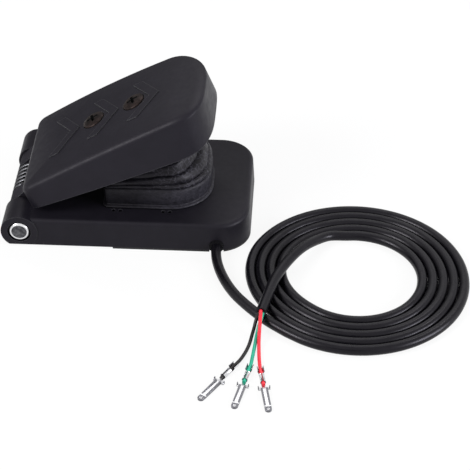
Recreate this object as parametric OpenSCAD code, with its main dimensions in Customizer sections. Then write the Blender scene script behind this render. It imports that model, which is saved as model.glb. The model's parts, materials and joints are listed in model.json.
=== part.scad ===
// Throttle foot pedal: a hinged pedal on a flat base, with a torsion return spring, a rubber
// bellows over a Hall sensor, and a coiled three-core cable that ends in crimped tab terminals.
// Millimetres. The origin is on the floor under the middle of the base. +X points to the toe.

/* [Base] */
// Length from the back of the hinge ears to the toe
base_l = 110; // [104:1:130]
// Width
base_w = 68; // [66:1:80]
// Height of the top face above the floor
base_h = 14; // [13:0.5:15]
// Corner radius of the toe, seen from above
base_toe_r = 15; // [8:1:20]
// Rounding of the top edge
base_edge_r = 2; // [0.5:0.25:2.5]
// Draft, how far the top is set in on each side
base_draft = 0.6; // [0:0.1:1.2]
// Wall thickness
base_wall = 3; // [2:0.25:4]
// Roof thickness
base_roof = 3; // [2:0.25:3.5]
// How far the bottom cover stands below the housing
cover_step = 0.8; // [0.4:0.1:1.2]
// Thickness of the bottom cover
cover_t = 2; // [1.6:0.1:3]

/* [Mounting holes] */
// Radius of the four screw holes in the underside
mount_r = 2.1; // [1.5:0.1:2.6]
// Depth of the screw holes
mount_depth = 8; // [5:0.5:8.5]
// Spacing along the base
mount_dx = 52; // [44:1:54]
// Spacing across the base
mount_dy = 48; // [44:1:50]
// Distance of the pattern's middle from the middle of the base
mount_x = 4; // [2:0.5:5]
// Radius of the bosses round the holes
mount_boss_r = 5; // [4:0.25:5.5]

/* [Hinge] */
// Gap between the return spring and the floor
floor_gap = 0.3; // [0.2:0.05:0.6]
// Outer radius of the ears
ear_r = 8.2; // [8:0.1:9]
// Width of each ear
ear_w = 15; // [12:0.5:16]
// Radius of the hinge pin
pin_r = 4.5; // [3.5:0.1:4.6]
// Chamfer on the ends of the pin
pin_chamfer = 0.4; // [0.3:0.05:1.6]
// How far the ends of the pin lie inside the ears
pin_recess = 0.2; // [0:0.1:1]
// Step between the pin and the countersink that shows round its ends
pin_ring = 0.7; // [0.4:0.1:1]
// Depth of that countersink
countersink_d = 1.5; // [1:0.1:3]
// Wall of the pedal's knuckles round their bushes
knuckle_wall = 1.35; // [1:0.05:1.5]
// Width of each knuckle
knuckle_w = 9.4; // [7:0.2:9.8]
// Wall of the bush in each knuckle
bush_wall = 1.2; // [0.8:0.1:1.6]
// Radial running clearance of the bushes on the pin
running_gap = 0.05; // [0.02:0.01:0.1]
// Side clearance between knuckles and ears
side_gap = 0.3; // [0.2:0.1:0.6]
// Length of the notch between the ears, in front of the hinge axis
notch_l = 12; // [11:0.5:14]
// How far the tongues of the rest stop reach under the roof
tongue_l = 5; // [3:0.5:7]
// Thickness of those tongues
tongue_t = 3; // [2:0.1:3.4]

/* [Return spring] */
// Wire diameter
spring_wire = 2; // [1.6:0.1:2.2]
// Clearance between the coils and the pin
spring_gap = 0.7; // [0.5:0.05:0.9]
// Smallest gap between neighbouring coils
coil_gap = 0.8; // [0.5:0.05:0.9]
// Length of the leg that lies on the base, from the hinge axis
spring_base_leg = 22; // [18:0.5:26]
// Length of the leg that lifts the pedal, from the hinge axis
spring_pedal_leg = 20; // [17:0.5:22]
// Height of that leg's end above the hinge axis, square to the top
pedal_leg_n = 2.6; // [2:0.1:3]

/* [Pedal] */
// Slope of the top when released
rest_tilt = 29.6; // [26:0.2:32]
// How far the pedal turns when it is pressed
travel = 16; // [10:0.5:16]
// Length of the top
pedal_l = 91.6; // [88:0.2:96]
// Width of the top at the heel
pedal_heel_w = 56.5; // [54:0.5:60]
// Width that the sides run towards at the toe
pedal_toe_w = 54.6; // [52:0.2:58]
// How far the sides bow out in the middle
pedal_bow = 1.2; // [0:0.1:2]
// Length of the rounded toe
pedal_toe_l = 19.6; // [19.4:0.2:26]
// Squareness of the rounded toe on its far side, 2 is an ellipse
pedal_toe_power = 2; // [2:0.1:3]
// Squareness of the toe on the cable's side
pedal_near_power = 3.6; // [2:0.1:4]
// Squareness of the toe at its lower rim
pedal_rim_power = 3.4; // [2:0.1:4]
// How far the toe's wall leans in at its lower rim
pedal_toe_lean = 5.2; // [2:0.2:6]
// Corner radius of the heel
pedal_heel_r = 5; // [2:0.5:8]
// Height of the top's rim above the hinge axis, square to the top
pedal_n = 15.2; // [14.8:0.1:16]
// Distance of the heel edge in front of the hinge axis, along the top
pedal_u = 9.2; // [9:0.1:11]
// Crown of the top across the pedal
pedal_crown = 0.8; // [0.4:0.1:1.6]
// How far in from the edge the crown rises
pedal_crown_in = 13.5; // [10:0.5:13.5]
// Arch of the top along the pedal
pedal_arch = 1.5; // [0:0.1:2]
// Gap between the heel rim and the base when the pedal is pressed
heel_gap = 0.4; // [0.3:0.1:1]
// Depth of the wall at the toe
pedal_wall_toe = 19.4; // [16:0.2:21]
// How far the wall flares out at its lower rim
pedal_flare = 1; // [0:0.1:1.2]
// Rounding of the top edge
pedal_edge_r = 2.8; // [1:0.1:2.8]
// How much further in the rounding runs at the toe
pedal_toe_roll = 2.8; // [0:0.2:2.8]
// Wall thickness
pedal_wall = 2.5; // [2:0.1:3]
// Thickness of the top at its rim
pedal_top_t = 4; // [3.4:0.1:4.4]

/* [Chevrons] */
// Number of raised chevrons
chevron_count = 3; // [1:1:3]
// Distance of the first tip from the heel edge
chevron_u = 29; // [26:0.5:31]
// Distance from tip to tip
chevron_pitch = 20.6; // [18:0.2:21]
// Half width of a chevron
chevron_half = 13.8; // [9:0.2:16]
// How far the arms run back
chevron_back = 9.6; // [6:0.2:12]
// Width of the band, along the pedal
chevron_band = 5; // [2:0.2:6]
// Height of the band above the top
chevron_h = 0.4; // [0.2:0.05:0.8]

/* [Pedal screws] */
// Distance of the first screw from the heel edge
screw_u = 36.5; // [34:0.5:40]
// Distance between the two screws
screw_pitch = 20.7; // [18:0.1:22]
// Radius of the thread
screw_r = 2.5; // [2:0.1:2.6]
// Radius of the head
screw_head_r = 5.2; // [4:0.1:5.6]
// Height of the head at its edge
screw_head_edge = 0.7; // [0.4:0.1:1.2]
// Height of the head at its middle
screw_head_h = 1.9; // [1.4:0.1:2.6]
// Depth of the seat cut into the crown
screw_seat = 0.5; // [0.2:0.1:0.8]
// Clearance of the screws in their holes
screw_gap = 0.1; // [0.05:0.05:0.3]
// Half length of the cross recess
recess_l = 2.7; // [2:0.1:3.2]
// Width of the cross recess
recess_w = 1.1; // [0.8:0.1:1.4]
// Depth of the cross recess
recess_d = 1.5; // [1:0.1:1.6]
// Height of the nuts
nut_h = 3; // [2:0.1:3.4]
// Half of the nuts' width across corners
nut_r = 4.6; // [4.2:0.1:5]

/* [Magnet arm] */
// Thickness of the plate under the pedal that holds the boot
frame_t = 2; // [1.5:0.1:2.4]
// Thickness of the arm's flange
arm_t = 3; // [2:0.1:3.4]
// Width of the arm's flange
arm_w = 13; // [11:0.5:16]
// How far the flange runs past the nuts
arm_margin = 1; // [0.5:0.1:1.5]
// Thickness of the blade
blade_t = 6; // [4:0.5:7]
// Wall of the blade round the magnets
blade_wall = 1; // [0.6:0.1:1.4]
// Radius of the magnets
magnet_r = 2; // [1.2:0.1:2.2]
// Thickness of the magnets
magnet_t = 2; // [1:0.1:2.5]
// Gap between the two magnets
magnet_gap = 1; // [0.6:0.1:1.4]
// Height of the magnets' middle above the hinge axis, square to the top
magnet_n = 0.75; // [0.5:0.05:1]

/* [Sensor] */
// Gap between the blade and the sensor's post
sensor_gap = 1.6; // [1.2:0.1:2]
// Width of the sensor body
sensor_w = 4.2; // [3:0.1:5]
// Height of the sensor body
sensor_h = 3.2; // [2.5:0.1:4]
// Thickness of the sensor body
sensor_t = 1.6; // [1.2:0.1:2]
// Pitch of the sensor's legs
leg_pitch = 1.27; // [1:0.01:1.5]
// Width of the sensor's legs
leg_w = 0.45; // [0.3:0.05:0.6]
// Wall of the post round the sensor
post_wall = 2.8; // [2:0.1:4]
// Thickness of the post above the sensor
post_cap = 1.2; // [0.8:0.1:1.6]
// Radius of the post's screw bosses
post_boss_r = 2.8; // [2.4:0.1:3.2]
// Length of the circuit board
board_l = 24; // [20:0.5:26]
// Width of the circuit board
board_w = 17; // [15:0.5:18]
// Distance of the board's heel end from the middle of the sensor
board_lap = 5.5; // [5:0.1:7]
// Distance of the board's screws from its ends
board_screw_in = 3.5; // [3:0.1:4.5]
// Room between the board and the heel wall of its bay
bay_gap = 6; // [4:0.5:8]
// Thickness of the circuit board
board_t = 1.6; // [1:0.1:2]
// Gap between the board and the base's roof
board_gap = 2; // [1.5:0.1:2.5]
// Thread radius of the small inner screws
small_screw_r = 1.2; // [0.9:0.05:1.4]
// Head radius of the small inner screws
small_head_r = 2.3; // [1.8:0.1:2.4]
// Head height of the small inner screws
small_head_h = 1.4; // [1:0.1:1.6]

/* [Boot] */
// Gap between the boot's heel side and the first nut
boot_arm_gap = 0.9; // [0.6:0.1:1.5]
// Gap between the boot and the pedal's toe wall
boot_toe_gap = 7.4; // [6.5:0.1:9]
// Width of the boot
boot_w = 44; // [40:0.5:46]
// Corner radius at the toe side
boot_toe_r = 18; // [9:0.5:19]
// Corner radius at the heel side
boot_heel_r = 5; // [4.5:0.5:7]
// Height of the plain band above the base
boot_band = 10; // [8:0.5:11]
// Number of pleats
boot_pleats = 6; // [4:1:8]
// Depth of the pleats
boot_pleat = 2; // [1:0.1:2.4]
// Thickness of the rubber
boot_t = 1.6; // [1:0.1:2]
// How far the bottom rim stands out
boot_rim = 0.8; // [0.4:0.1:1.2]
// Height of the bottom rim
boot_rim_h = 1.2; // [0.8:0.1:1.6]
// How far the heel side leans back towards its upper end
boot_lean = 13; // [12:0.5:14]
// Clearance round the boot's ends
boot_gap = 0.3; // [0.2:0.05:0.4]
// Height of the frame inside the boot's foot
foot_frame_h = 2.5; // [1.5:0.1:4]
// Width of the frame inside the boot's foot
foot_frame_w = 2.2; // [1.5:0.1:2.4]
// Radius of the small clip holes beside the boot
clip_r = 0.9; // [0.4:0.05:1]
// Pitch of the two holes of a pair
clip_pitch = 3; // [2.4:0.1:4]
// Distance between the pairs
clip_dx = 22; // [16:0.5:26]
// How far the pairs lie behind the middle of the boot
clip_back = 6.5; // [0:0.5:8]

/* [Cable] */
// Diameter of the jacket
cable_d = 4.5; // [3.5:0.1:4.6]
// Distance of the cable exit from the toe
cable_from_toe = 14.5; // [13:0.5:16]
// How far the jacket runs inside the base
jacket_in = 12; // [10:0.5:13]
// Wall of the grommet
grommet_t = 0.75; // [0.4:0.05:0.8]
// Gap between the grommet and the floor
grommet_floor = 0.2; // [0.1:0.05:0.5]
// How far the grommet reaches past the inside of the wall
grommet_in = 1; // [0.5:0.5:2]
// How far the grommet stands out of the wall
grommet_out = 1; // [0.4:0.1:2]
// Width of the cable tie
tie_w = 2.6; // [2:0.1:4]
// Size of the cable tie's head
tie_head = 2.4; // [2:0.1:3]
// Outer radius of the coil
coil_r_out = 49; // [46:0.5:52]
// Inner radius of the coil
coil_r_in = 26.4; // [22:0.2:30]
// Diameter of the three cores
wire_d = 1.5; // [1.2:0.05:1.6]

/* [Terminals] */
// Length
terminal_l = 25; // [22:0.5:30]
// Width of the tab
tab_w = 2.8; // [2:0.1:4.8]
// Thickness of the tab
tab_t = 0.8; // [0.5:0.05:1]
// Length of the tab
tab_l = 13; // [9:0.5:13]
// Width across the shoulders
shoulder_w = 5; // [3:0.1:6]
// Radius of the hole near the tip
tab_hole_r = 0.6; // [0.3:0.05:0.9]
// Metal thickness of the crimps
crimp_t = 0.35; // [0.25:0.05:0.5]
// Length of the crimp on the insulation
crimp_l = 3; // [2:0.1:3.6]
// Length of the crimp on the conductor
barrel_l = 4.5; // [3:0.1:5]
// Gap between the two crimps
crimp_gap = 1.4; // [1:0.1:2]

/* [Hidden] */
$fn = 64;
hull_fn = 32;
thin = 0.02;
past = 1;
edge_step = 10;

// Base
toe_x = base_l / 2;
base_half = base_w / 2;
hinge_x = -base_l / 2 + ear_r;
hinge_z = floor_gap + spring_wire + spring_gap + pin_r;
roof_z = base_h - base_roof;
ear_in = base_half - ear_w;
notch_x = hinge_x + notch_l;
bay_half = base_half - base_wall;
bay_toe_r = base_toe_r - base_wall;
seam = 0.15;
mount_pts = [for (i = [-1, 1], j = [-1, 1]) [mount_x + i * mount_dx / 2, j * mount_dy / 2]];

// Pedal, in its own frame: u along the top from the hinge axis, n square to it
pressed = rest_tilt - travel;
rim_n = (base_h + heel_gap - hinge_z - (pedal_u - pedal_flare) * sin(pressed)) / cos(pressed);
pedal_wall_heel = pedal_n - rim_n;
rim_slope = atan((pedal_wall_toe - pedal_wall_heel) / pedal_l);
ceiling_n = pedal_n - pedal_top_t;
toe_powers = [pedal_toe_power, pedal_near_power];
top_n = pedal_n + pedal_arch + pedal_crown;
seat_n = top_n - screw_seat;
bush_r = pin_r + running_gap + bush_wall;
knuckle_r = bush_r + knuckle_wall;
knuckle_y = ear_in - side_gap - knuckle_w / 2;
screw_us = [for (i = [0, 1]) pedal_u + screw_u + i * screw_pitch];
frame_n = ceiling_n - frame_t;
flange_n = frame_n - arm_t;
nut_n = flange_n - nut_h;
arm_u0 = screw_us[0] - nut_r - arm_margin;
arm_u1 = screw_us[1] + nut_r + arm_margin;
blade_u = (screw_us[0] + screw_us[1]) / 2;
blade_l = 2 * (magnet_r + blade_wall);
magnet_ns = [for (i = [-1, 1]) magnet_n + i * (magnet_r + magnet_gap / 2)];
blade_n = magnet_ns[0] - magnet_r - blade_wall;
heel_steps = 8;
side_steps = 10;
toe_steps = 16;
crown_steps = 5;

// Where a point of the pedal lies when the top slopes by a
function pedal_at(u, n, a) = [
    hinge_x + u * cos(a) - n * sin(a),
    hinge_z + u * sin(a) + n * cos(a)
];

// Sensor: the magnets' middle reaches it when the pedal is pressed
sensor_at = pedal_at(blade_u, magnet_n, pressed);
sensor_x = sensor_at[0];
sensor_y = blade_t / 2 + sensor_gap;
sensor_fit = 0.1;
post_x0 = sensor_x - sensor_w / 2 - post_wall;
post_l = sensor_w + 2 * post_wall;
post_t = sensor_t + post_wall;
post_h = sensor_at[1] + sensor_h / 2 + sensor_fit + post_cap - base_h;
post_screws = [for (s = [0, 1]) [post_x0 + s * post_l, sensor_y + post_t + post_boss_r]];
board_x = sensor_x - board_lap;
board_z = roof_z - board_gap - board_t;
board_screws_at = [
    [board_x + board_screw_in, -board_w / 4],
    [board_x + board_l - board_screw_in, board_w / 4]
];
board_boss_r = 2.4;
slot_l = 3 * leg_pitch + 1;
slot_w = 2.4;
leg_y = sensor_y + sensor_t / 2;

// Bays under the roof: the toe bay holds the board, and the bottom cover closes it
bay_x0 = board_x - bay_gap;
pocket_x1 = bay_x0 - base_wall;
cover_boss_r = 3.2;
cover_boss_in = cover_boss_r + 1.5;
cover_head_r = 2.6;
small_recess = [1.4, 0.5, 0.8];
cover_pts = [
    for (s = [-1, 1]) [bay_x0 + cover_boss_in, s * (bay_half - cover_boss_in)],
    for (s = [-1, 1]) [toe_x - base_wall - cover_boss_in, s * (bay_half - bay_toe_r - mount_r)]
];

// Pressed stop: the second nut lands on it
stop_gap = 0.3;
stop_at = pedal_at(screw_us[1], nut_n, pressed);
stop_r = nut_r - 0.2;
stop_top = stop_at[1] - stop_gap - nut_r * sin(pressed);
stem_r = 2;

// Rest stop: a tongue on each knuckle bears on the underside of the roof
tongue_x = notch_x + tongue_l;
tongue_w = knuckle_w - 2;

// Return spring
spring_wr = spring_wire / 2;
spring_r = pin_r + spring_gap + spring_wr;
spring_half = knuckle_y - knuckle_w / 2 - side_gap - spring_wr;
leg_gap = 0.4;
leg_floor = 1.5;
leg_floor_w = 2 * (spring_half + spring_wr + leg_gap);
base_leg_dz = cover_step + leg_floor + spring_wr + running_gap - hinge_z;
leg_reach = norm([spring_pedal_leg, pedal_leg_n]);
leg_angle = atan2(pedal_leg_n, spring_pedal_leg) + acos(spring_r / leg_reach);
spring_end = rest_tilt + leg_angle - 360;
part_turn = (spring_end + 90) / 360;
spring_turns = floor(2 * spring_half / (spring_wire + coil_gap) + part_turn);
spring_turn_deg = 360 * (spring_turns - part_turn);
spring_steps = 18 * spring_turns;
leg_rib_n = pedal_leg_n + spring_wr + 2 * leg_gap;
leg_slot_w = spring_wire + 2 * leg_gap;

// Boot: the upper pleats fan about the line where the band's top meets the pedal's ceiling
boot_top_n = ceiling_n - boot_gap;
band_z = base_h + boot_band;
fan_u = (band_z - hinge_z - boot_top_n * cos(rest_tilt)) / sin(rest_tilt);
fan_x = hinge_x + fan_u * cos(rest_tilt) - boot_top_n * sin(rest_tilt);
boot_u1 = pedal_u + pedal_l - pedal_wall - boot_toe_gap;
boot_x1 = fan_x + boot_u1 - fan_u;
boot_x = fan_x + (screw_us[0] - nut_r - boot_arm_gap - fan_u) / cos(rest_tilt / 2)
    - boot_t - boot_pleat + boot_lean / 2;
boot_half = boot_w / 2;
pleat_deg = rest_tilt / boot_pleats;
band_inset = 0.3;
rim_blend = 0.3;
corner_steps = 6;
clip_edge = 0.6;
clip_x = (boot_x + boot_x1) / 2 - clip_back;
clip_y = boot_half + boot_rim + clip_r + clip_edge;
clip_depth = 2;

// Cable
cable_r = cable_d / 2;
wire_r = wire_d / 2;
grommet_r = cable_r + grommet_t;
grommet_l = grommet_out + base_wall + grommet_in;
cable_x = toe_x - cable_from_toe;
cable_z = grommet_floor + grommet_r;
exit_y = -base_half;
jacket_y = exit_y + jacket_in;
over_z = cable_d + cable_r + 0.05;
coil_at = [101.8, -50.8];
cable_sides = 12;
wire_sides = 8;
lead_route = [
    [cable_x, jacket_y, cable_z],
    [cable_x, exit_y + base_wall, cable_z],
    [cable_x, exit_y - grommet_out, cable_z],
    [40.8, -40, cable_r + 0.7],
    [41.7, -45, cable_r + 0.35],
    [43.6, -51.2, cable_r + 0.05],
    [46.6, -58.3, cable_r],
    [50.4, -65, cable_r],
    [55, -71, cable_r],
    [60, -76.6, cable_r],
    [65.4, -81.8, cable_r],
    [72, -87, cable_r]
];
tail_route = [
    [96, -21.4, cable_r],
    [90.5, -23.4, cable_r + 0.5],
    [85.2, -27.7, cable_r + 1.7],
    [80.4, -33.6, cable_r + 3.3],
    [76.2, -40, over_z - 0.2],
    [72.4, -46.8, over_z],
    [69.6, -52.8, over_z],
    [67.2, -59.3, over_z],
    [65.5, -65.5, over_z],
    [64.2, -71.2, over_z],
    [63.1, -76, over_z],
    [62.1, -81, over_z]
];
red_route = [[62, -81, 7.6], [62, -84, 7], [61.9, -87, 5.4], [61.8, -90, 3.6], [61.8, -94, 1.8],
    [62, -98, 0.9], [62.3, -103, 0.8]];
green_route = [[62.8, -81, 6.3], [62.2, -84, 5.2], [61.3, -87, 3.4], [60.7, -90, 1.6],
    [60.2, -95, 0.8], [59.6, -101.5, 0.8]];
black_route = [[61.1, -81, 6.3], [60.2, -83.5, 4.6], [59.5, -86, 2.4], [58.7, -89.5, 1],
    [57.9, -94.4, 0.8], [56.7, -99, 0.8], [54.9, -103.6, 0.8]];
red_crimp = [62.9, -108.8];
green_crimp = [59, -107.8];
black_crimp = [53, -107.3];
red_heading = -79.6;
green_heading = -103;
black_heading = -123.2;
crimp_r = wire_r + crimp_t;
wire_in = crimp_l + crimp_gap;
core_pitch = wire_d + 0.2;
core_run = 5;
core_rise = 0.6;
pad_at = [board_x + board_l - 2, -board_w / 4, board_z - wire_r - running_gap];

// Route of one core between the end of the jacket and the board, i from -1 to 1
function core_route(i) = [
    [cable_x, jacket_y, cable_z] + core_pitch * i * [1, 0, 0],
    [cable_x, jacket_y, cable_z] + core_run * [-0.2, 1, 0] + core_rise * [0, 0, 1]
        + core_pitch * i * [1, 0.5, 0],
    [cable_x, jacket_y, cable_z] + core_run * [-1.2, 2, 0] + 3 * core_rise * [0, 0, 1]
        + core_pitch * i * [0.8, 0.9, 0],
    pad_at + core_run * [1.2, -0.6, 0] - core_rise * [0, 0, 1] + core_pitch * i * [0.3, 1.5, 0],
    pad_at + core_pitch * i * [0, 1.4, 0]
];

// Sweep helpers
function unit(v) = v / norm(v);
function along(p, i) = unit(p[min(i + 1, len(p) - 1)] - p[max(i - 1, 0)]);
function ring(p, i, r, sides, ref) =
    let (t = along(p, i), s = unit(cross(t, ref)), w = cross(s, t))
    [for (k = [0 : sides - 1]) p[i] + r * (cos(360 * k / sides) * s + sin(360 * k / sides) * w)];

// Tube of radius r along the points p; ref is a direction that the route never follows
module tube(p, r, sides, ref) {
    n = len(p);
    points = [for (i = [0 : n - 1]) each ring(p, i, r, sides, ref)];
    walls = [
        for (i = [0 : n - 2], k = [0 : sides - 1])
            let (a = i * sides + k, b = i * sides + (k + 1) % sides)
            each [[a, b, b + sides], [a, b + sides, a + sides]]
    ];
    first = [for (k = [sides - 1 : -1 : 0]) k];
    last = [for (k = [0 : sides - 1]) (n - 1) * sides + k];
    polyhedron(points, concat([first], walls, [last]), convexity = 6);
}

// Outline of the base between x0 and x1 with rounded toe corners
module plan(x0, x1, half, r) {
    translate([x0, -half]) square([x1 - r - x0, 2 * half]);
    translate([x1 - r - thin, r - half]) square([r + thin, 2 * (half - r)]);
    for (s = [-1, 1]) translate([x1 - r, s * (half - r)]) circle(r = r);
}

// Cylinder along Y with its middle at y
module across(r, w, y = 0) {
    translate([0, y + w / 2, 0]) rotate([90, 0, 0]) cylinder(r = r, h = w);
}

module at_hinge() {
    translate([hinge_x, 0, hinge_z]) children();
}

module on_pedal() {
    at_hinge() rotate([0, -rest_tilt, 0]) children();
}

// Outer form of the base: drafted walls and a rounded top edge
module base_block() {
    hull() {
        translate([0, 0, cover_step]) linear_extrude(thin) plan(hinge_x, toe_x, base_half, base_toe_r);
        for (a = [0 : edge_step : 90]) {
            inset = base_draft + base_edge_r * (1 - cos(a));
            z = base_h - base_edge_r * (1 - sin(a)) - thin;
            translate([0, 0, z]) linear_extrude(thin)
                plan(hinge_x, toe_x - inset, base_half - inset, base_toe_r - inset / 2);
        }
    }
    for (s = [-1, 1]) at_hinge() across(ear_r, ear_w, s * (base_half - ear_w / 2));
}

// The hollows under the roof, in the heel half and in the toe half
module base_hollows() {
    translate([notch_x, -bay_half, -past]) cube([pocket_x1 - notch_x, 2 * bay_half, roof_z + past]);
    translate([0, 0, -past]) linear_extrude(roof_z + past)
        plan(bay_x0, toe_x - base_wall, bay_half, bay_toe_r);
}

// Lower end of a mounting boss: on the cover in the toe bay, else level with the housing
function mount_z(p) = p[0] > bay_x0 ? cover_t + seam : cover_step;

// What stands in those hollows
module base_bosses() {
    for (p = mount_pts) {
        z = mount_z(p);
        translate([p[0], p[1], z]) cylinder(r = mount_boss_r, h = roof_z + thin - z);
    }
    for (p = cover_pts) translate([p[0], p[1], cover_t + seam])
        cylinder(r = cover_boss_r, h = roof_z + thin - cover_t - seam);
    for (p = board_screws_at) translate([p[0], p[1], board_z + board_t])
        cylinder(r = board_boss_r, h = board_gap + thin);
    translate([notch_x, -leg_floor_w / 2, cover_step])
        cube([pocket_x1 - notch_x + thin, leg_floor_w, leg_floor]);
}

module base_housing() {
    color("#26262a") difference() {
        union() {
            difference() {
                base_block();
                base_hollows();
            }
            base_bosses();
        }
        translate([-base_l, -ear_in, -past]) cube([base_l + notch_x, 2 * ear_in, base_h + ear_r]);
        translate([-base_l, -base_w, cover_step - base_h]) cube([2 * base_l, 2 * base_w, base_h]);
        at_hinge() across(pin_r, base_w + past);
        for (s = [-1, 1]) at_hinge()
            across(pin_r + pin_ring, 2 * countersink_d, s * base_half);
        translate([notch_x - past, spring_half - leg_slot_w / 2, roof_z - past])
            cube([spring_pedal_leg, leg_slot_w, base_roof + 2 * past]);
        for (p = mount_pts) {
            z = mount_z(p);
            translate([p[0], p[1], z - past]) cylinder(r = mount_r, h = mount_depth + past);
        }
        for (p = cover_pts) translate([p[0], p[1], cover_t])
            cylinder(r = small_screw_r + running_gap, h = roof_z - cover_t - past);
        for (p = board_screws_at) translate([p[0], p[1], board_z])
            cylinder(r = small_screw_r + running_gap, h = board_t + board_gap + base_roof - past);
        for (p = post_screws) translate([p[0], p[1], roof_z - past])
            cylinder(r = small_screw_r + screw_gap, h = base_roof + 2 * past);
        translate([sensor_x - slot_l / 2, leg_y - slot_w / 2, roof_z - past])
            cube([slot_l, slot_w, base_roof + 2 * past]);
        translate([stop_at[0], 0, roof_z - past]) cylinder(r = stem_r, h = base_roof + 2 * past);
        for (s = [-1, 1], i = [-1, 1], j = [-1, 1])
            translate([clip_x + i * clip_dx / 2 + j * clip_pitch / 2, s * clip_y, base_h - clip_depth])
                 cylinder(r = clip_r, h = clip_depth + past);
        translate([cable_x, 0, cable_z]) across(grommet_r, 4 * base_wall, exit_y);
    }
}

module bottom_cover() {
    color("#2b2b2f") difference() {
        union() {
            linear_extrude(cover_step) plan(bay_x0 - base_wall / 2, toe_x, base_half, base_toe_r);
            linear_extrude(cover_t) plan(bay_x0 + seam, toe_x - base_wall - seam, bay_half - seam,
                bay_toe_r - seam);
        }
        for (p = mount_pts) if (p[0] > bay_x0) translate([p[0], p[1], -past])
            cylinder(r = mount_r + 2 * seam, h = cover_t + 2 * past);
        for (p = cover_pts) translate([p[0], p[1], -thin]) {
            cylinder(r = small_screw_r + screw_gap, h = cover_t + past);
            cylinder(r1 = cover_head_r, r2 = small_screw_r, h = cover_head_r - small_screw_r);
        }
        translate([cable_x - grommet_r - seam, exit_y - past, -past])
            cube([2 * (grommet_r + seam), jacket_y - exit_y + 2 * past, cover_t + 2 * past]);
    }
}

module bottom_cover_screws() {
    color("#8f9092") for (p = cover_pts) translate([p[0], p[1], 0]) difference() {
        union() {
            cylinder(r1 = cover_head_r - seam, r2 = small_screw_r - seam, h = cover_head_r - small_screw_r);
            cylinder(r = small_screw_r, h = roof_z - 2 * past - seam);
        }
        cross_recess(small_recess);
    }
}

// Cross recess cut from the plane z = 0 upwards; c is its half length, width and depth
module cross_recess(c) {
    for (a = [0, 90]) rotate([0, 0, a]) translate([-c[0], -c[1] / 2, -thin])
        cube([2 * c[0], c[1], c[2] + thin]);
}

module hinge_pin() {
    half = base_half - pin_recess;
    color("#b9bbbe") at_hinge() rotate([90, 0, 0]) {
        translate([0, 0, -half + pin_chamfer]) cylinder(r = pin_r, h = 2 * (half - pin_chamfer));
        for (s = [0, 1]) mirror([0, 0, s]) translate([0, 0, half - pin_chamfer])
            cylinder(r1 = pin_r, r2 = pin_r - pin_chamfer, h = pin_chamfer);
    }
}

// Torsion spring: a leg on the base, open coils round the pin, a leg under the pedal
module return_spring() {
    coil = [for (i = [0 : spring_steps])
        let (a = -90 - spring_turn_deg * i / spring_steps)
        [spring_r * cos(a), -spring_half + 2 * spring_half * i / spring_steps, spring_r * sin(a)]];
    base_leg = [
        [spring_base_leg, -spring_half, base_leg_dz],
        [notch_l, -spring_half, base_leg_dz],
        [notch_l / 2, -spring_half, (base_leg_dz - spring_r) / 2 - leg_gap]
    ];
    tip = [
        spring_pedal_leg * cos(rest_tilt) - pedal_leg_n * sin(rest_tilt),
        spring_half,
        spring_pedal_leg * sin(rest_tilt) + pedal_leg_n * cos(rest_tilt)
    ];
    last = coil[spring_steps];
    pedal_leg = [(last + tip) / 2, tip];
    color("#9a9c9f") at_hinge() tube(concat(base_leg, coil, pedal_leg), spring_wr, wire_sides, [0, 1, 0]);
}

// Outline of the boot, set in by d, with its heel side moved back by lean
function boot_loop(d, lean) =
    let (x0 = boot_x - lean + d, x1 = boot_x1 - d, h = boot_half - d,
        rh = max(boot_heel_r - d, 0.5), rt = boot_toe_r - d)
    concat(
        [for (k = [0 : corner_steps]) let (a = 180 + 90 * k / corner_steps)
            [x0 + rh + rh * cos(a), -h + rh + rh * sin(a)]],
        [for (k = [0 : corner_steps]) let (a = 270 + 90 * k / corner_steps)
            [x1 - rt + rt * cos(a), -h + rt + rt * sin(a)]],
        [for (k = [0 : corner_steps]) let (a = 90 * k / corner_steps)
            [x1 - rt + rt * cos(a), h - rt + rt * sin(a)]],
        [for (k = [0 : corner_steps]) let (a = 90 + 90 * k / corner_steps)
            [x0 + rh + rh * cos(a), h - rh + rh * sin(a)]]
    );
function band_ring(z, d) = [for (q = boot_loop(d, 0)) [q[0], q[1], z]];
function fan_ring(a, d) = [
    for (q = boot_loop(d, boot_lean * a / rest_tilt))
        [fan_x + (q[0] - fan_x) * cos(a), q[1], band_z + (q[0] - fan_x) * sin(a)]
];
function boot_skin(t) = concat(
    [for (z = [0, boot_rim_h]) band_ring(base_h + z, t > 0 ? t : -boot_rim)],
    [band_ring(base_h + boot_rim_h + rim_blend, t + band_inset), band_ring(band_z - boot_band / 2, t)],
    [for (k = [0 : 2 * boot_pleats]) fan_ring(pleat_deg * k / 2, t + (k % 2 == 0 ? boot_pleat : 0))]
);

module dust_boot() {
    outer = boot_skin(0);
    inner = boot_skin(boot_t);
    loops = concat(outer, [for (i = [len(inner) - 1 : -1 : 0]) inner[i]]);
    m = len(loops[0]);
    n = len(loops);
    faces = [
        for (i = [0 : n - 1], k = [0 : m - 1])
            let (j = (i + 1) % n, l = (k + 1) % m)
            each [[i * m + k, j * m + k, j * m + l], [i * m + k, j * m + l, i * m + l]]
    ];
    color("#1c1c1f") polyhedron([for (p = loops) each p], faces, convexity = 10);
}

// Rounded frame outline between x0 and x1
module frame_plan(x0, x1, half, rh, rt) {
    hull() {
        for (s = [-1, 1]) {
            translate([x0 + rh, s * (half - rh)]) circle(r = rh, $fn = hull_fn);
            translate([x1 - rt, s * (half - rt)]) circle(r = rt, $fn = hull_fn);
        }
    }
}

module boot_base_frame() {
    d = boot_t + band_inset + boot_gap;
    e = d + foot_frame_w;
    color("#303034") translate([0, 0, base_h]) linear_extrude(foot_frame_h) difference() {
        frame_plan(boot_x + d, boot_x1 - d, boot_half - d, boot_heel_r - d, boot_toe_r - d);
        frame_plan(boot_x + e, boot_x1 - e, boot_half - e, 1, boot_toe_r - e);
    }
}

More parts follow.
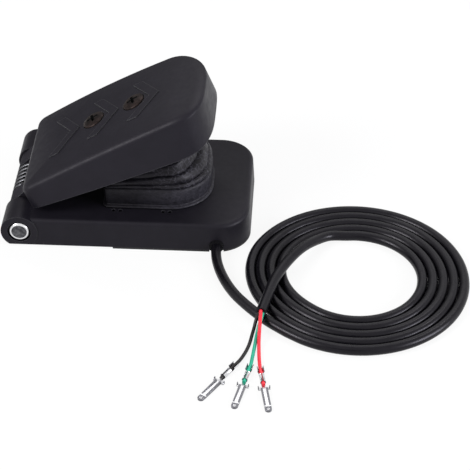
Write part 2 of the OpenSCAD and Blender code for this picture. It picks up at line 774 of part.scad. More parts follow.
module boot_pedal_frame() {
    d = boot_t + boot_pleat + boot_gap;
    u0 = fan_u + boot_x - boot_lean * (1 - 1 / boot_pleats) - fan_x;
    color("#303034") on_pedal() difference() {
        translate([0, 0, frame_n]) linear_extrude(frame_t)
            frame_plan(u0 + d, boot_u1 - d, boot_half - d, boot_heel_r - boot_pleat, boot_toe_r - d);
        for (u = screw_us) translate([u, 0, frame_n - past])
            cylinder(r = screw_r + screw_gap, h = frame_t + 2 * past);
    }
}

module sensor_holder() {
    color("#3a3a40") difference() {
        union() {
            translate([post_x0, sensor_y, base_h]) cube([post_l, post_t, post_h]);
            for (p = post_screws) hull() {
                translate([p[0], p[1], base_h]) cylinder(r = post_boss_r, h = post_h / 2, $fn = hull_fn);
                translate([post_x0 + post_l / 2 - 1, sensor_y + post_t - 1, base_h]) cube([2, 1, post_h / 2]);
            }
        }
        translate([sensor_x - sensor_w / 2 - sensor_fit, sensor_y - past, base_h - past])
            cube([sensor_w + 2 * sensor_fit, past + sensor_t + sensor_fit,
                sensor_at[1] + sensor_h / 2 + sensor_fit - base_h + past]);
        for (p = post_screws) translate([p[0], p[1], base_h - past])
            cylinder(r = small_screw_r + running_gap, h = post_h / 2);
    }
}

module small_screw(l) {
    difference() {
        union() {
            translate([0, 0, -small_head_h]) cylinder(r = small_head_r, h = small_head_h);
            cylinder(r = small_screw_r, h = l);
        }
        translate([0, 0, -small_head_h]) cross_recess(small_recess);
    }
}

module sensor_holder_screws() {
    color("#8f9092") for (p = post_screws) translate([p[0], p[1], roof_z])
        small_screw(base_roof + post_h / 2 - 2 * past);
}

module hall_sensor() {
    z0 = sensor_at[1] - sensor_h / 2;
    color("#1f1f22") translate([sensor_x - sensor_w / 2, sensor_y, z0]) cube([sensor_w, sensor_t, sensor_h]);
    color("#c9cacc") for (i = [-1 : 1])
        translate([sensor_x + i * leg_pitch - leg_w / 2, leg_y - leg_w / 2, board_z + board_t])
            cube([leg_w, leg_w, z0 - board_z - board_t + thin]);
}

module sensor_board() {
    color("#1f6b3a") difference() {
        translate([board_x, -board_w / 2, board_z]) cube([board_l, board_w, board_t]);
        for (p = board_screws_at) translate([p[0], p[1], board_z - past])
            cylinder(r = small_screw_r + screw_gap, h = board_t + 2 * past);
    }
}

module board_screws() {
    color("#8f9092") for (p = board_screws_at) translate([p[0], p[1], board_z])
        small_screw(board_t + board_gap + base_roof - 2 * past);
}

module inner_wires() {
    shades = ["#1a1a1c", "#1fa67c", "#d83a48"];
    for (i = [-1 : 1]) color(shades[i + 1]) tube(core_route(i), wire_r, wire_sides, [0, 0, 1]);
}

module cable_tie() {
    y = exit_y + base_wall + grommet_in + seam + tie_w / 2;
    color("#d8d8d2") translate([cable_x, 0, cable_z]) difference() {
        union() {
            across(grommet_r, tie_w, y);
            translate([-tie_head / 2, y - tie_w / 2, cable_r]) cube([tie_head, tie_w, tie_head]);
        }
        across(cable_r, tie_w + past, y);
    }
}

module cable_grommet() {
    color("#202023") translate([cable_x, 0, cable_z]) difference() {
        across(grommet_r, grommet_l, exit_y - grommet_out + grommet_l / 2);
        across(cable_r, grommet_l + past, exit_y - grommet_out + grommet_l / 2);
    }
}

module press_stop() {
    color("#1a1a1c") translate([stop_at[0], 0, 0]) {
        translate([0, 0, base_h]) cylinder(r = stop_r, h = stop_top - base_h);
        translate([0, 0, roof_z]) cylinder(r = stem_r, h = base_roof + thin);
    }
}

// Half width of the pedal's top at the distance u from the heel edge
function pedal_half(u) =
    let (s = u / pedal_l)
    pedal_heel_w / 2 + (pedal_toe_w - pedal_heel_w) / 2 * s + 4 * pedal_bow * s * (1 - s);

// One side of the pedal's outline, heel to toe, set in by d and at the toe by roll more; power is the
// squareness of the toe
function pedal_side(d, l, power, roll) =
    let (r = max(pedal_heel_r - d, 0.5), u1 = l - pedal_toe_l, e = 2 / power)
    concat(
        [for (k = [0 : heel_steps - 1])
            let (a = 90 * k / heel_steps)
            [d + r * (1 - cos(a)), pedal_half(d + r) - d - r * (1 - sin(a))]],
        [for (k = [0 : side_steps - 1])
            let (u = d + r + (u1 - d - r) * k / side_steps) [u, pedal_half(u) - d]],
        [for (k = [0 : toe_steps])
            let (a = 90 * k / toe_steps, u = u1 + (pedal_toe_l - d - roll) * pow(sin(a), e))
            [u, (pedal_half(u) - d) * pow(cos(a), e)]]
    );
function pedal_loop(d, l, powers, roll = 0) =
    let (far = pedal_side(d, l, powers[0], roll), near = pedal_side(d, l, powers[1], roll))
    concat(far, [for (i = [len(near) - 2 : -1 : 0]) [near[i][0], -near[i][1]]]);

// Height of the top's arch at the distance u from the heel edge
function pedal_rise(u) = pedal_arch * (1 - pow(2 * u / pedal_l - 1, 2));

// Rings round the pedal, set in by d: under the flat ceiling, along the arched top, and on the
// slanted plane of the lower rim, dropped by drop
function ceiling_ring(d) = [
    for (q = pedal_loop(d, pedal_l, toe_powers)) [pedal_u + q[0], q[1], ceiling_n]
];
function top_ring(d, n) = [
    for (q = pedal_loop(d, pedal_l, toe_powers, pedal_toe_roll * min(d / pedal_edge_r, 1)))
        [pedal_u + q[0], q[1], n + pedal_rise(q[0])]
];
function rim_ring(d, drop) = [
    for (q = pedal_loop(d, pedal_l - pedal_toe_lean, [pedal_rim_power, pedal_rim_power]))
        [pedal_u + q[0] * cos(rim_slope), q[1], rim_n - drop - q[0] * sin(rim_slope)]
];

// Solid between rings, lowest first, that each run from the heel down one side and back up the other
module skin(rings) {
    m = len(rings[0]);
    top = (len(rings) - 1) * m;
    walls = [
        for (i = [0 : len(rings) - 2], k = [0 : m - 1])
            let (a = i * m + k, b = i * m + (k + 1) % m)
            each [[a, b, b + m], [a, b + m, a + m]]
    ];
    strips = [for (k = [0 : (m - 5) / 2]) each [[k, k + 1, m - 2 - k], [k, m - 2 - k, m - 1 - k]]];
    tip = [(m - 3) / 2, (m - 1) / 2, (m + 1) / 2];
    caps = concat(strips, [tip]);
    roof = [for (f = caps) [for (k = f) top + k]];
    floor_faces = [for (f = caps) [for (i = [len(f) - 1 : -1 : 0]) f[i]]];
    polyhedron([for (r = rings) each r], concat(floor_faces, walls, roof), convexity = 6);
}

// Outer form of the pedal: flared wall, rounded edge, arched and crowned top
module pedal_block() {
    edge = [for (a = [0 : edge_step : 90])
        top_ring(pedal_edge_r * (1 - cos(a)), pedal_n - pedal_edge_r * (1 - sin(a)))];
    crown = [for (k = [1 : crown_steps])
        let (s = k / crown_steps)
        top_ring(pedal_edge_r + s * pedal_crown_in, pedal_n + pedal_crown * (1 - pow(1 - s, 2)))];
    skin(concat([rim_ring(-pedal_flare, 0)], edge, crown));
}

module chevron(u) {
    b = chevron_back;
    h = chevron_half;
    translate([u, 0]) polygon([[0, 0], [-b, h], [-b - chevron_band, h], [-chevron_band, 0],
        [-b - chevron_band, -h], [-b, -h]]);
}

// Knuckle and the web that joins it to the heel wall
module knuckle(y) {
    hull() {
        across(knuckle_r, knuckle_w, y, $fn = hull_fn);
        translate([pedal_u, y - knuckle_w / 2, rim_n]) cube([pedal_wall, knuckle_w, pedal_wall_heel / 2]);
    }
    across(knuckle_r, knuckle_w, y);
}

module pedal_shell() {
    difference() {
        union() {
            pedal_block();
            intersection() {
                translate([0, 0, chevron_h]) pedal_block();
                translate([0, 0, ceiling_n]) linear_extrude(top_n - ceiling_n + past)
                    for (i = [0 : chevron_count - 1]) chevron(pedal_u + chevron_u + i * chevron_pitch);
            }
        }
        skin([rim_ring(pedal_wall - pedal_flare, past), ceiling_ring(pedal_wall)]);
    }
}

module pedal_plate() {
    color("#29292d") {
        on_pedal() difference() {
            union() {
                pedal_shell();
                for (s = [-1, 1]) knuckle(s * knuckle_y);
                translate([spring_pedal_leg - 2, spring_half - spring_wr, leg_rib_n])
                    cube([spring_wire + 1, spring_wire, ceiling_n - leg_rib_n + thin]);
            }
            across(bush_r, base_w);
            translate([pedal_u - pedal_flare - past, -spring_half - spring_wire, rim_n - past])
                cube([pedal_wall + 2 * pedal_flare + 2 * past, 2 * (spring_half + spring_wire),
                    pedal_wall_heel / 2]);
            for (u = screw_us) {
                translate([u, 0, 0]) cylinder(r = screw_r + screw_gap, h = top_n + past);
                translate([u, 0, seat_n]) cylinder(r = screw_head_r + 2 * screw_gap, h = past + screw_seat);
            }
        }
        for (s = [-1, 1]) difference() {
            translate([hinge_x, s * knuckle_y - tongue_w / 2, roof_z - side_gap - tongue_t])
                cube([tongue_x - hinge_x, tongue_w, tongue_t]);
            at_hinge() across(knuckle_r - thin, base_w);
        }
    }
}

module pedal_screws() {
    dome = (pow(screw_head_r, 2) + pow(screw_head_h - screw_head_edge, 2))
        / (2 * (screw_head_h - screw_head_edge));
    color("#4a3d33") on_pedal() for (u = screw_us) translate([u, 0, seat_n]) difference() {
        union() {
            intersection() {
                cylinder(r = screw_head_r, h = screw_head_h);
                translate([0, 0, screw_head_h - dome]) sphere(r = dome);
            }
            translate([0, 0, nut_n - seat_n]) cylinder(r = screw_r, h = seat_n - nut_n + thin);
        }
        translate([0, 0, screw_head_h]) mirror([0, 0, 1]) cross_recess([recess_l, recess_w, recess_d]);
    }
}

module pedal_screw_nuts() {
    color("#8f9092") on_pedal() for (u = screw_us) translate([u, 0, nut_n]) difference() {
        cylinder(r = nut_r, h = nut_h, $fn = 6);
        translate([0, 0, -past]) cylinder(r = screw_r + running_gap, h = nut_h + 2 * past);
    }
}

module magnet_arm() {
    color("#3a3a40") on_pedal() difference() {
        union() {
            translate([arm_u0, -arm_w / 2, flange_n]) cube([arm_u1 - arm_u0, arm_w, arm_t]);
            translate([blade_u - blade_l / 2, -blade_t / 2, blade_n])
                cube([blade_l, blade_t, flange_n - blade_n + thin]);
        }
        for (u = screw_us) translate([u, 0, flange_n - past])
            cylinder(r = screw_r + screw_gap, h = arm_t + 2 * past);
        for (n = magnet_ns) translate([blade_u, 0, n]) across(magnet_r, 2 * magnet_t, blade_t / 2);
    }
}

module magnets() {
    color("#a9abae") on_pedal() for (n = magnet_ns) translate([blade_u, 0, n])
        across(magnet_r, magnet_t, (blade_t - magnet_t) / 2);
}

module hinge_bushes() {
    color("#cfc9b8") at_hinge() for (s = [-1, 1]) difference() {
        across(bush_r, knuckle_w, s * knuckle_y);
        across(pin_r + running_gap, knuckle_w + past, s * knuckle_y);
    }
}

module cable_lead() {
    color("#202023") tube(lead_route, cable_r, cable_sides, [0, 0, 1]);
}

module cable_coil() {
    color("#202023") translate([coil_at[0], coil_at[1], 0]) rotate_extrude() {
        translate([coil_r_in + cable_r, 0]) square([coil_r_out - coil_r_in - cable_d, cable_d]);
        for (r = [coil_r_in + cable_r, coil_r_out - cable_r]) translate([r, cable_r]) circle(r = cable_r);
    }
}

module cable_tail() {
    color("#202023") tube(tail_route, cable_r, cable_sides, [0, 0, 1]);
}

// One core of the cable, from the end of the jacket into its terminal
module wire(route, crimp, heading) {
    d = [cos(heading), sin(heading)];
    inside = crimp + wire_in * d;
    tube(concat(route, [[crimp[0], crimp[1], crimp_r], [inside[0], inside[1], crimp_r]]),
        wire_r, wire_sides, [0, 0, 1]);
}

module wire_black() {
    color("#1a1a1c") wire(black_route, black_crimp, black_heading);
}

module wire_green() {
    color("#1fa67c") wire(green_route, green_crimp, green_heading);
}

module wire_red() {
    color("#d83a48") wire(red_route, red_crimp, red_heading);
}

// Tab terminal lying on the floor: crimps at x = 0, tip of the tab at x = terminal_l
module terminal() {
    tab_x = terminal_l - tab_l;
    neck_x = wire_in + barrel_l;
    barrel_r = wire_r + crimp_t / 2;
    tip_r = tab_w / 2;
    rail = 0.35;
    difference() {
        union() {
            translate([0, 0, crimp_r]) rotate([0, 90, 0]) cylinder(r = crimp_r, h = crimp_l);
            translate([wire_in, 0, barrel_r]) rotate([0, 90, 0]) cylinder(r = barrel_r, h = barrel_l);
            translate([crimp_l - thin, -wire_r, 0]) cube([tab_x - crimp_l + 2 * thin, wire_d, crimp_t]);
            translate([neck_x - thin, -wire_r * 0.8, 0]) cube([tab_x - neck_x, wire_d * 0.8, wire_d * 0.8]);
            translate([tab_x - 1, -shoulder_w / 2, 0]) cube([1, shoulder_w, tab_t]);
            translate([tab_x - thin, -tab_w / 2, 0]) cube([tab_l - tip_r + thin, tab_w, tab_t]);
            translate([terminal_l - tip_r, 0, 0]) cylinder(r = tip_r, h = tab_t);
            for (s = [-1, 1]) translate([tab_x - thin, s * (tab_w - rail) / 2 - rail / 2, tab_t - thin])
                cube([tab_l - tip_r, rail, rail]);
        }
        translate([-past, 0, crimp_r]) rotate([0, 90, 0]) cylinder(r = wire_r, h = crimp_l + 2 * past);
        translate([terminal_l - tip_r, 0, -past]) cylinder(r = tab_hole_r, h = tab_t + 2 * past);
    }
}

module terminal_black() {
    color("#d5d6d8") translate([black_crimp[0], black_crimp[1], 0]) rotate([0, 0, black_heading]) terminal();
}

module terminal_green() {
    color("#d5d6d8") translate([green_crimp[0], green_crimp[1], 0]) rotate([0, 0, green_heading]) terminal();
}

module terminal_red() {
    color("#d5d6d8") translate([red_crimp[0], red_crimp[1], 0]) rotate([0, 0, red_heading]) terminal();
}

base_housing();
bottom_cover();
bottom_cover_screws();
hinge_pin();
return_spring();
dust_boot();
boot_base_frame();
sensor_holder();
sensor_holder_screws();
hall_sensor();
sensor_board();
board_screws();
inner_wires();
cable_tie();
cable_grommet();
press_stop();
pedal_plate();
pedal_screws();
pedal_screw_nuts();
magnet_arm();
magnets();
hinge_bushes();
boot_pedal_frame();
cable_lead();
cable_coil();
cable_tail();
wire_black();
wire_green();
wire_red();
terminal_black();
terminal_green();
terminal_red();
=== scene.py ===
"""Looks of a throttle foot pedal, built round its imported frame.

Everything lies in the part's own frame: metres, +Z up, +X to the toe, the floor at z = 0.
Sizes are written in millimetres and turned into metres where a mesh is made.
"""
import json
import logging
import math
from dataclasses import dataclass, field
from enum import Enum

import bmesh
import bpy
import numpy as np
from mathutils import Matrix, Quaternion, Vector, noise


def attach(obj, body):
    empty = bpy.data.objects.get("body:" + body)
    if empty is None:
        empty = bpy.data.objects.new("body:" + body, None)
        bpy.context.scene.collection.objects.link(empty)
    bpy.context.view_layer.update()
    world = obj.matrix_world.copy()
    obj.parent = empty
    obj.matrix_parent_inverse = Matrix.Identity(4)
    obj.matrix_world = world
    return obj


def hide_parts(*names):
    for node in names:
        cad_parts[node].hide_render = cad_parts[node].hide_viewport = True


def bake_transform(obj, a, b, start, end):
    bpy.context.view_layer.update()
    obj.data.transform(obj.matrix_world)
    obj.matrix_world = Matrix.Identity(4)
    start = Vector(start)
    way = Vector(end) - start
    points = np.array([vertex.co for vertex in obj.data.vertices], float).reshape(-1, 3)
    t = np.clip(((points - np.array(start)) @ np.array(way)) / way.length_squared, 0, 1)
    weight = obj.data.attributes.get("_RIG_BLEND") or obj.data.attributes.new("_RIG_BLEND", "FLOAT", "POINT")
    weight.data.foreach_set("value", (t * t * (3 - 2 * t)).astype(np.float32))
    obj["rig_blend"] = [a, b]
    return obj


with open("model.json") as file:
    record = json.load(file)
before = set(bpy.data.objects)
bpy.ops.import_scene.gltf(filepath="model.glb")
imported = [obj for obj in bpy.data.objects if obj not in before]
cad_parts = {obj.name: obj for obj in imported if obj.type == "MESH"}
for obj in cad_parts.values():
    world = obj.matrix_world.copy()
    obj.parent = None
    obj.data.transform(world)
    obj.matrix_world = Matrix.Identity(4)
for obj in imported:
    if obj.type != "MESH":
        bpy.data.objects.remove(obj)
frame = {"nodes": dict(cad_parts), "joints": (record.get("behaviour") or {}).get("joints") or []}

Colour = tuple[float, float, float]
Point = tuple[float, float, float]
Pair = tuple[float, float]
Line = list[Vector]
Socket = bpy.types.NodeSocket
Piece = bpy.types.Object
Form = bmesh.types.BMesh

MM = 0.001
LOG = logging.getLogger("throttle_pedal")
HINGE: Vector = Vector(frame["joints"][0]["pos_m"])
PEDAL_TILT = 29.6
DOWN_DEG = -90.0
RISE: Pair = (0.0, 1.0)
FALL: Pair = (1.0, 0.0)
WHITE: Colour = (1.0, 1.0, 1.0)
COOL_GLOSS: Colour = (0.97, 0.94, 1.0)
EDGE_SAMPLES = 6
SHADE_SAMPLES = 8
CORD_ROUNDNESS = 6


class Body(Enum):
    """The two bodies that the hinge joins."""

    BASE = "base"
    PEDAL = "pedal"


def mm(x: float, y: float, z: float) -> Vector:
    """A point given in millimetres, in metres."""
    return Vector((x, y, z)) * MM


def held(t: float) -> float:
    """A share held between 0 and 1."""
    return min(max(t, 0.0), 1.0)


def smoothstep(t: float) -> float:
    """0 below 0, 1 above 1, and a smooth rise between."""
    t = held(t)
    return t * t * (3 - 2 * t)


def rgba(colour: Colour) -> tuple[float, float, float, float]:
    """A colour with full cover, as a socket takes it."""
    return (*colour, 1.0)


def smooth_line(points: Line, per: int) -> Line:
    """A smooth line through given points.

    Args:
        points: the points that the line passes through.
        per: how many steps it takes from each point to the next.

    Returns:
        The points of the line, the first and last of them as given.
    """
    line = []
    last = len(points) - 1
    for i in range(last):
        a, b = points[i], points[i + 1]
        leave = (b - points[max(i - 1, 0)]) / 2
        arrive = (points[min(i + 2, last)] - a) / 2
        for k in range(per):
            t = k / per
            line.append(
                a * (2 * t**3 - 3 * t**2 + 1)
                + leave * (t**3 - 2 * t**2 + t)
                + b * (3 * t**2 - 2 * t**3)
                + arrive * (t**3 - t**2)
            )
    line.append(points[last].copy())
    return line


class NodeSheet:
    """A node tree while it is drawn, with short calls to add and join nodes."""

    def __init__(self, tree: bpy.types.NodeTree) -> None:
        """Starts on an empty tree.

        Args:
            tree: the tree, whose nodes are removed first.
        """
        self.tree = tree
        tree.nodes.clear()

    def add(self, kind: str, inputs: dict | None = None, **settings: object) -> bpy.types.Node:
        """Adds one node.

        Args:
            kind: the node's type name.
            inputs: values or sockets for its inputs, by name or place.
            settings: the node's own properties.

        Returns:
            The new node.
        """
        node = self.tree.nodes.new(kind)
        for key, value in settings.items():
            setattr(node, key, value)
        for key, value in (inputs or {}).items():
            if isinstance(value, Socket):
                self.tree.links.new(value, node.inputs[key])
            else:
                node.inputs[key].default_value = value
        return node

    def math(self, operation: str, *values: object) -> Socket:
        """Result of one Math node on numbers or sockets."""
        return self.add("ShaderNodeMath", dict(enumerate(values)), operation=operation).outputs[0]

    def vector(self, operation: str, *values: object, out: str = "Vector") -> Socket:
        """Result of one Vector Math node, a vector unless its value is asked for."""
        return self.add("ShaderNodeVectorMath", dict(enumerate(values)), operation=operation).outputs[out]

    def span(self, value: Socket, ends: Pair, to: Pair = RISE) -> Socket:
        """Maps a value from one span to another.

        Args:
            value: the socket to map.
            ends: the two values that give the ends of the new span.
            to: the two ends of the new span.

        Returns:
            The mapped value, held inside the span.
        """
        limits = {"From Min": ends[0], "From Max": ends[1], "To Min": to[0], "To Max": to[1]}
        return self.add("ShaderNodeMapRange", {"Value": value, **limits}).outputs["Result"]

    def blend(self, share: Socket, a: object, b: object) -> Socket:
        """Colour between two colours."""
        return self.add("ShaderNodeMix", {0: share, 6: a, 7: b}, data_type="RGBA").outputs[2]


class Skin(NodeSheet):
    """The sheet of a surface finish, with the piece's own coordinates in millimetres."""

    def __init__(self, tree: bpy.types.NodeTree) -> None:
        """Starts on an empty tree with its coordinates.

        Args:
            tree: the tree, whose nodes are removed first.
        """
        super().__init__(tree)
        place = self.add("ShaderNodeTexCoord").outputs["Object"]
        self.coords = self.add("ShaderNodeMapping", {"Vector": place, "Scale": (1 / MM,) * 3}).outputs[0]

    def speckle(self, scale: float, detail: float, bend: float = 0.0) -> Socket:
        """Noise over the surface.

        Args:
            scale: patches per millimetre.
            detail: octaves of finer noise.
            bend: how far the noise is distorted.

        Returns:
            The noise, about 0.3 to 0.7.
        """
        parts = {"Vector": self.coords, "Scale": scale, "Detail": detail, "Distortion": bend}
        return self.add("ShaderNodeTexNoise", parts).outputs[0]

    def along(self, letter: str) -> Socket:
        """One of the three coordinates."""
        return self.add("ShaderNodeSeparateXYZ", {0: self.coords}).outputs[letter]

    def hinge_reach(self) -> Socket:
        """Distance from the hinge's axis, in millimetres."""
        offset = self.vector("SUBTRACT", self.coords, tuple(v / MM for v in HINGE))
        return self.vector("LENGTH", self.vector("MULTIPLY", offset, (1.0, 0.0, 1.0)), out="Value")

    def marked(self, name: str) -> Socket:
        """How far the mesh's faces are marked under a name."""
        return self.add("ShaderNodeAttribute", attribute_name=name).outputs["Fac"]


@dataclass(frozen=True)
class Finish:
    """A surface finish: two close shades, a span of roughness and a fine relief.

    A finish with an edge radius shows softened edges. One with an edge highlight as well has painted
    highlights along its edges and painted shade in its corners.
    """

    name: str
    shade: Colour
    shade_b: Colour
    rough: Pair
    specular: float = 0.5
    metallic: float = 0.0
    gloss: Colour = WHITE
    patches: float = 0.12
    patch_ends: Pair = (0.35, 0.65)
    grain: float = 3.0
    relief: float = 0.12
    depth: float = 0.03
    edge: float = 0.0
    # Strength of the pale painted highlights along edges.
    edge_highlight: float = 0.0
    edge_highlight_blue: float = 1.1
    edge_highlight_bend: Pair = (0.99, 0.8)
    # Reach of the painted shade in corners, in millimetres.
    corner: float = 0.5
    shade_open: Pair = (0.55, 0.85)
    painted_corner_shade: Colour = (0.001, 0.001, 0.0012)

    def material(self) -> bpy.types.Material:
        """Makes the finish's material, at its first use.

        Returns:
            The material.
        """
        label = f"{self.name}_finish"
        if label in bpy.data.materials:
            return bpy.data.materials[label]
        made = bpy.data.materials.new(label)
        made.use_nodes = True
        skin = Skin(made.node_tree)
        colour = self.tint(skin)
        bump = {"Height": self.height(skin), "Strength": self.relief, "Distance": self.depth * MM}
        if self.edge:
            radius = {"Radius": self.edge * MM}
            bump["Normal"] = skin.add("ShaderNodeBevel", radius, samples=EDGE_SAMPLES).outputs[0]
            if self.edge_highlight:
                colour = self.paint_edge_light_and_shade(skin, bump["Normal"], colour)
        surface = skin.add("ShaderNodeBsdfPrincipled", {
            "Base Color": colour,
            "Metallic": self.metallic,
            "Roughness": self.roughness(skin),
            "Specular IOR Level": self.specular,
            "Specular Tint": rgba(self.gloss),
            "Normal": skin.add("ShaderNodeBump", bump).outputs[0],
        })
        skin.add("ShaderNodeOutputMaterial", {"Surface": surface.outputs[0]})
        return made

    def paint_edge_light_and_shade(self, skin: Skin, soft: Socket, colour: Socket) -> Socket:
        """Paints highlights on the edges that stand out and paints shade into the corners that lie in.

        Args:
            skin: the sheet to draw on.
            soft: the normal of the softened edges.
            colour: the colour away from the edges.

        Returns:
            The colour with its edges.
        """
        flat = skin.add("ShaderNodeNewGeometry").outputs["Normal"]
        bend = skin.vector("DOT_PRODUCT", soft, flat, out="Value")
        # The edges are painted pale as painted highlights.
        pale = rgba((self.edge_highlight, self.edge_highlight, self.edge_highlight_blue * self.edge_highlight))
        highlit = skin.blend(skin.span(bend, self.edge_highlight_bend), colour, pale)
        # The corners are darkened by ambient occlusion as painted shade.
        near = {"Distance": self.corner * MM}
        unshaded = skin.add("ShaderNodeAmbientOcclusion", near, samples=SHADE_SAMPLES).outputs["AO"]
        return skin.blend(skin.span(unshaded, self.shade_open), rgba(self.painted_corner_shade), highlit)

    def tint(self, skin: Skin) -> Socket:
        """Colour of the surface: the two shades in soft patches."""
        share = skin.span(skin.speckle(self.patches, detail=5.0), self.patch_ends)
        return skin.blend(share, rgba(self.shade), rgba(self.shade_b))

    def roughness(self, skin: Skin) -> Socket:
        """Roughness of the surface, in patches a third as wide as the shades'."""
        return skin.span(skin.speckle(3 * self.patches, detail=4.0), self.patch_ends, self.rough)

    def height(self, skin: Skin) -> Socket:
        """Fine relief of the surface: an even grain."""
        return skin.speckle(self.grain, detail=3.0)


@dataclass(frozen=True)
class CreasedRubber(Finish):
    """Thin moulded rubber: dark and leathery, creased, with a painted sheen at the toe of its plain band and
    painted highlights along creases at the toe.
    """

    creases: float = 0.5
    crease_w: float = 0.06
    crease_flow: Point = (0.7, 0.7, 1.2)
    drift_scale: float = 0.22
    drift: float = 4.0
    band_z: Pair = (22.0, 25.0)
    band_creases: Pair = (0.4, 1.0)
    scuffs: float = 1.1
    scuff_ends: Pair = (0.42, 0.72)
    lit_toe_x: Pair = (4.0, 24.0)
    lit_near_y: Pair = (0.0, -14.0)
    # Colour of the pale painted highlights along creases at the toe.
    crease_highlight: Colour = (0.058, 0.055, 0.070)
    crease_highlight_scale: float = 0.14
    crease_highlight_ends: Pair = (0.28, 0.48)
    crease_highlight_x: Pair = (0.1, 1.0)
    # Colour of the pale painted sheen on the near toe side of the plain band.
    painted_sheen: Colour = (0.031, 0.0295, 0.0385)
    sheen_scale: float = 0.55
    sheen_ends: Pair = (0.36, 0.66)
    sheen_cloud: Pair = (0.25, 1.0)
    sheen_x: Pair = (0.0, 0.8)
    sheen_y: Pair = (0.2, 1.0)

    def cracks(self, skin: Skin) -> Socket:
        """Crease lines, drawn out along the folds and weaker on the band.

        Args:
            skin: the sheet to draw on.

        Returns:
            1 in a crease, 0 away from it.
        """
        wave = {"Vector": skin.coords, "Scale": self.drift_scale, "Detail": 4.0}
        drift = skin.add("ShaderNodeTexNoise", wave).outputs[1]
        moved = skin.vector("MULTIPLY_ADD", drift, (self.drift,) * 3, skin.coords)
        cells = {"Vector": skin.vector("MULTIPLY", moved, self.crease_flow), "Scale": self.creases}
        away = skin.add("ShaderNodeTexVoronoi", cells, feature="DISTANCE_TO_EDGE").outputs["Distance"]
        deep = skin.span(skin.along("Z"), self.band_z, self.band_creases)
        return skin.math("MULTIPLY", deep, skin.span(away, (0.0, self.crease_w), FALL))

    def painted_sheen_share(self, skin: Skin) -> Socket:
        """Share of the painted sheen, in clouds on the near toe side of the band.

        Args:
            skin: the sheet to draw on.

        Returns:
            The share.
        """
        toe = skin.span(skin.along("X"), self.lit_toe_x, self.sheen_x)
        band = skin.math("MULTIPLY", toe, skin.span(skin.along("Z"), self.band_z, FALL))
        near = skin.math("MULTIPLY", band, skin.span(skin.along("Y"), self.lit_near_y, self.sheen_y))
        mist = skin.speckle(self.sheen_scale, detail=8.0, bend=1.2)
        return skin.math("MULTIPLY", near, skin.span(mist, self.sheen_ends, self.sheen_cloud))

    def tint(self, skin: Skin) -> Socket:
        """Dark rubber, greyer where it is scuffed, with a painted sheen and pale painted highlights along
        some creases.

        Args:
            skin: the sheet to draw on.

        Returns:
            The colour.
        """
        scuff = skin.span(skin.speckle(self.scuffs, detail=8.0, bend=1.5), self.scuff_ends)
        plain = skin.blend(scuff, rgba(self.shade), rgba(self.shade_b))
        # Painted sheen in clouds on the toe of the band.
        rubber = skin.blend(self.painted_sheen_share(skin), plain, rgba(self.painted_sheen))
        some = skin.span(skin.speckle(self.crease_highlight_scale, detail=3.0), self.crease_highlight_ends)
        toe = skin.math("MULTIPLY", some, skin.span(skin.along("X"), self.lit_toe_x, self.crease_highlight_x))
        # Creases at the toe are painted pale as painted highlights.
        return skin.blend(skin.math("MULTIPLY", self.cracks(skin), toe), rubber, rgba(self.crease_highlight))

    def height(self, skin: Skin) -> Socket:
        """Creases with a fine grain over them."""
        fine = skin.speckle(self.grain, detail=6.0, bend=0.8)
        return skin.math("SUBTRACT", fine, self.cracks(skin))


@dataclass(frozen=True)
class PaintedFacePin(Finish):
    """A steel pin: bright where it is turned, with its end faces painted dark and mottled as a painted dark
    reflection.
    """

    face_r: Pair = (3.4, 3.48)
    # The end face is painted dark as a painted dark reflection.
    face: Colour = (0.045, 0.045, 0.05)
    face_b: Colour = (0.14, 0.14, 0.15)
    face_rough: float = 0.28
    mottle: float = 0.9
    mottle_ends: Pair = (0.4, 0.68)

    def on_painted_face(self, skin: Skin) -> Socket:
        """1 inside the ring of the chamfer, 0 outside it."""
        return skin.span(skin.hinge_reach(), self.face_r, FALL)

    def tint(self, skin: Skin) -> Socket:
        """Bright steel, with a mottled painted dark reflection on its face.

        Args:
            skin: the sheet to draw on.

        Returns:
            The colour.
        """
        share = skin.span(skin.speckle(self.mottle, detail=6.0, bend=0.6), self.mottle_ends)
        painted_dark = skin.blend(share, rgba(self.face), rgba(self.face_b))
        return skin.blend(self.on_painted_face(skin), super().tint(skin), painted_dark)

    def roughness(self, skin: Skin) -> Socket:
        """Polished outside, rougher on the face."""
        return skin.math("MULTIPLY_ADD", self.on_painted_face(skin), self.face_rough, super().roughness(skin))


@dataclass(frozen=True)
class DullHinge(Finish):
    """Moulded plastic that is duller on its knuckles."""

    dull_r: Pair = (8.5, 13.0)
    dull: Pair = (0.85, 0.4)

    def roughness(self, skin: Skin) -> Socket:
        """The plastic's roughness, higher near the hinge."""
        near = skin.span(skin.hinge_reach(), self.dull_r, self.dull)
        return skin.math("MAXIMUM", near, super().roughness(skin))


@dataclass(frozen=True)
class BoredPlastic(Finish):
    """Moulded plastic with a black ring of painted shade round the pin that is pressed into it, where a gap
    would lie in shade.
    """

    gap_shade_r: Pair = (5.0, 5.2)
    # Black painted shade in a ring round the pin.
    gap_shade: Colour = (0.0008, 0.0008, 0.0008)

    def tint(self, skin: Skin) -> Socket:
        """The plastic's shades, black in the ring of painted shade round the pin."""
        near = skin.span(skin.hinge_reach(), self.gap_shade_r, FALL)
        return skin.blend(near, super().tint(skin), rgba(self.gap_shade))


@dataclass(frozen=True)
class MarkedMetal(Finish):
    """Metal with another colour on the faces that its mesh marks."""

    mark: str = ""
    other: Colour = WHITE

    def tint(self, skin: Skin) -> Socket:
        """The metal's shades, and the other colour on the marked faces."""
        return skin.blend(skin.marked(self.mark), super().tint(skin), rgba(self.other))


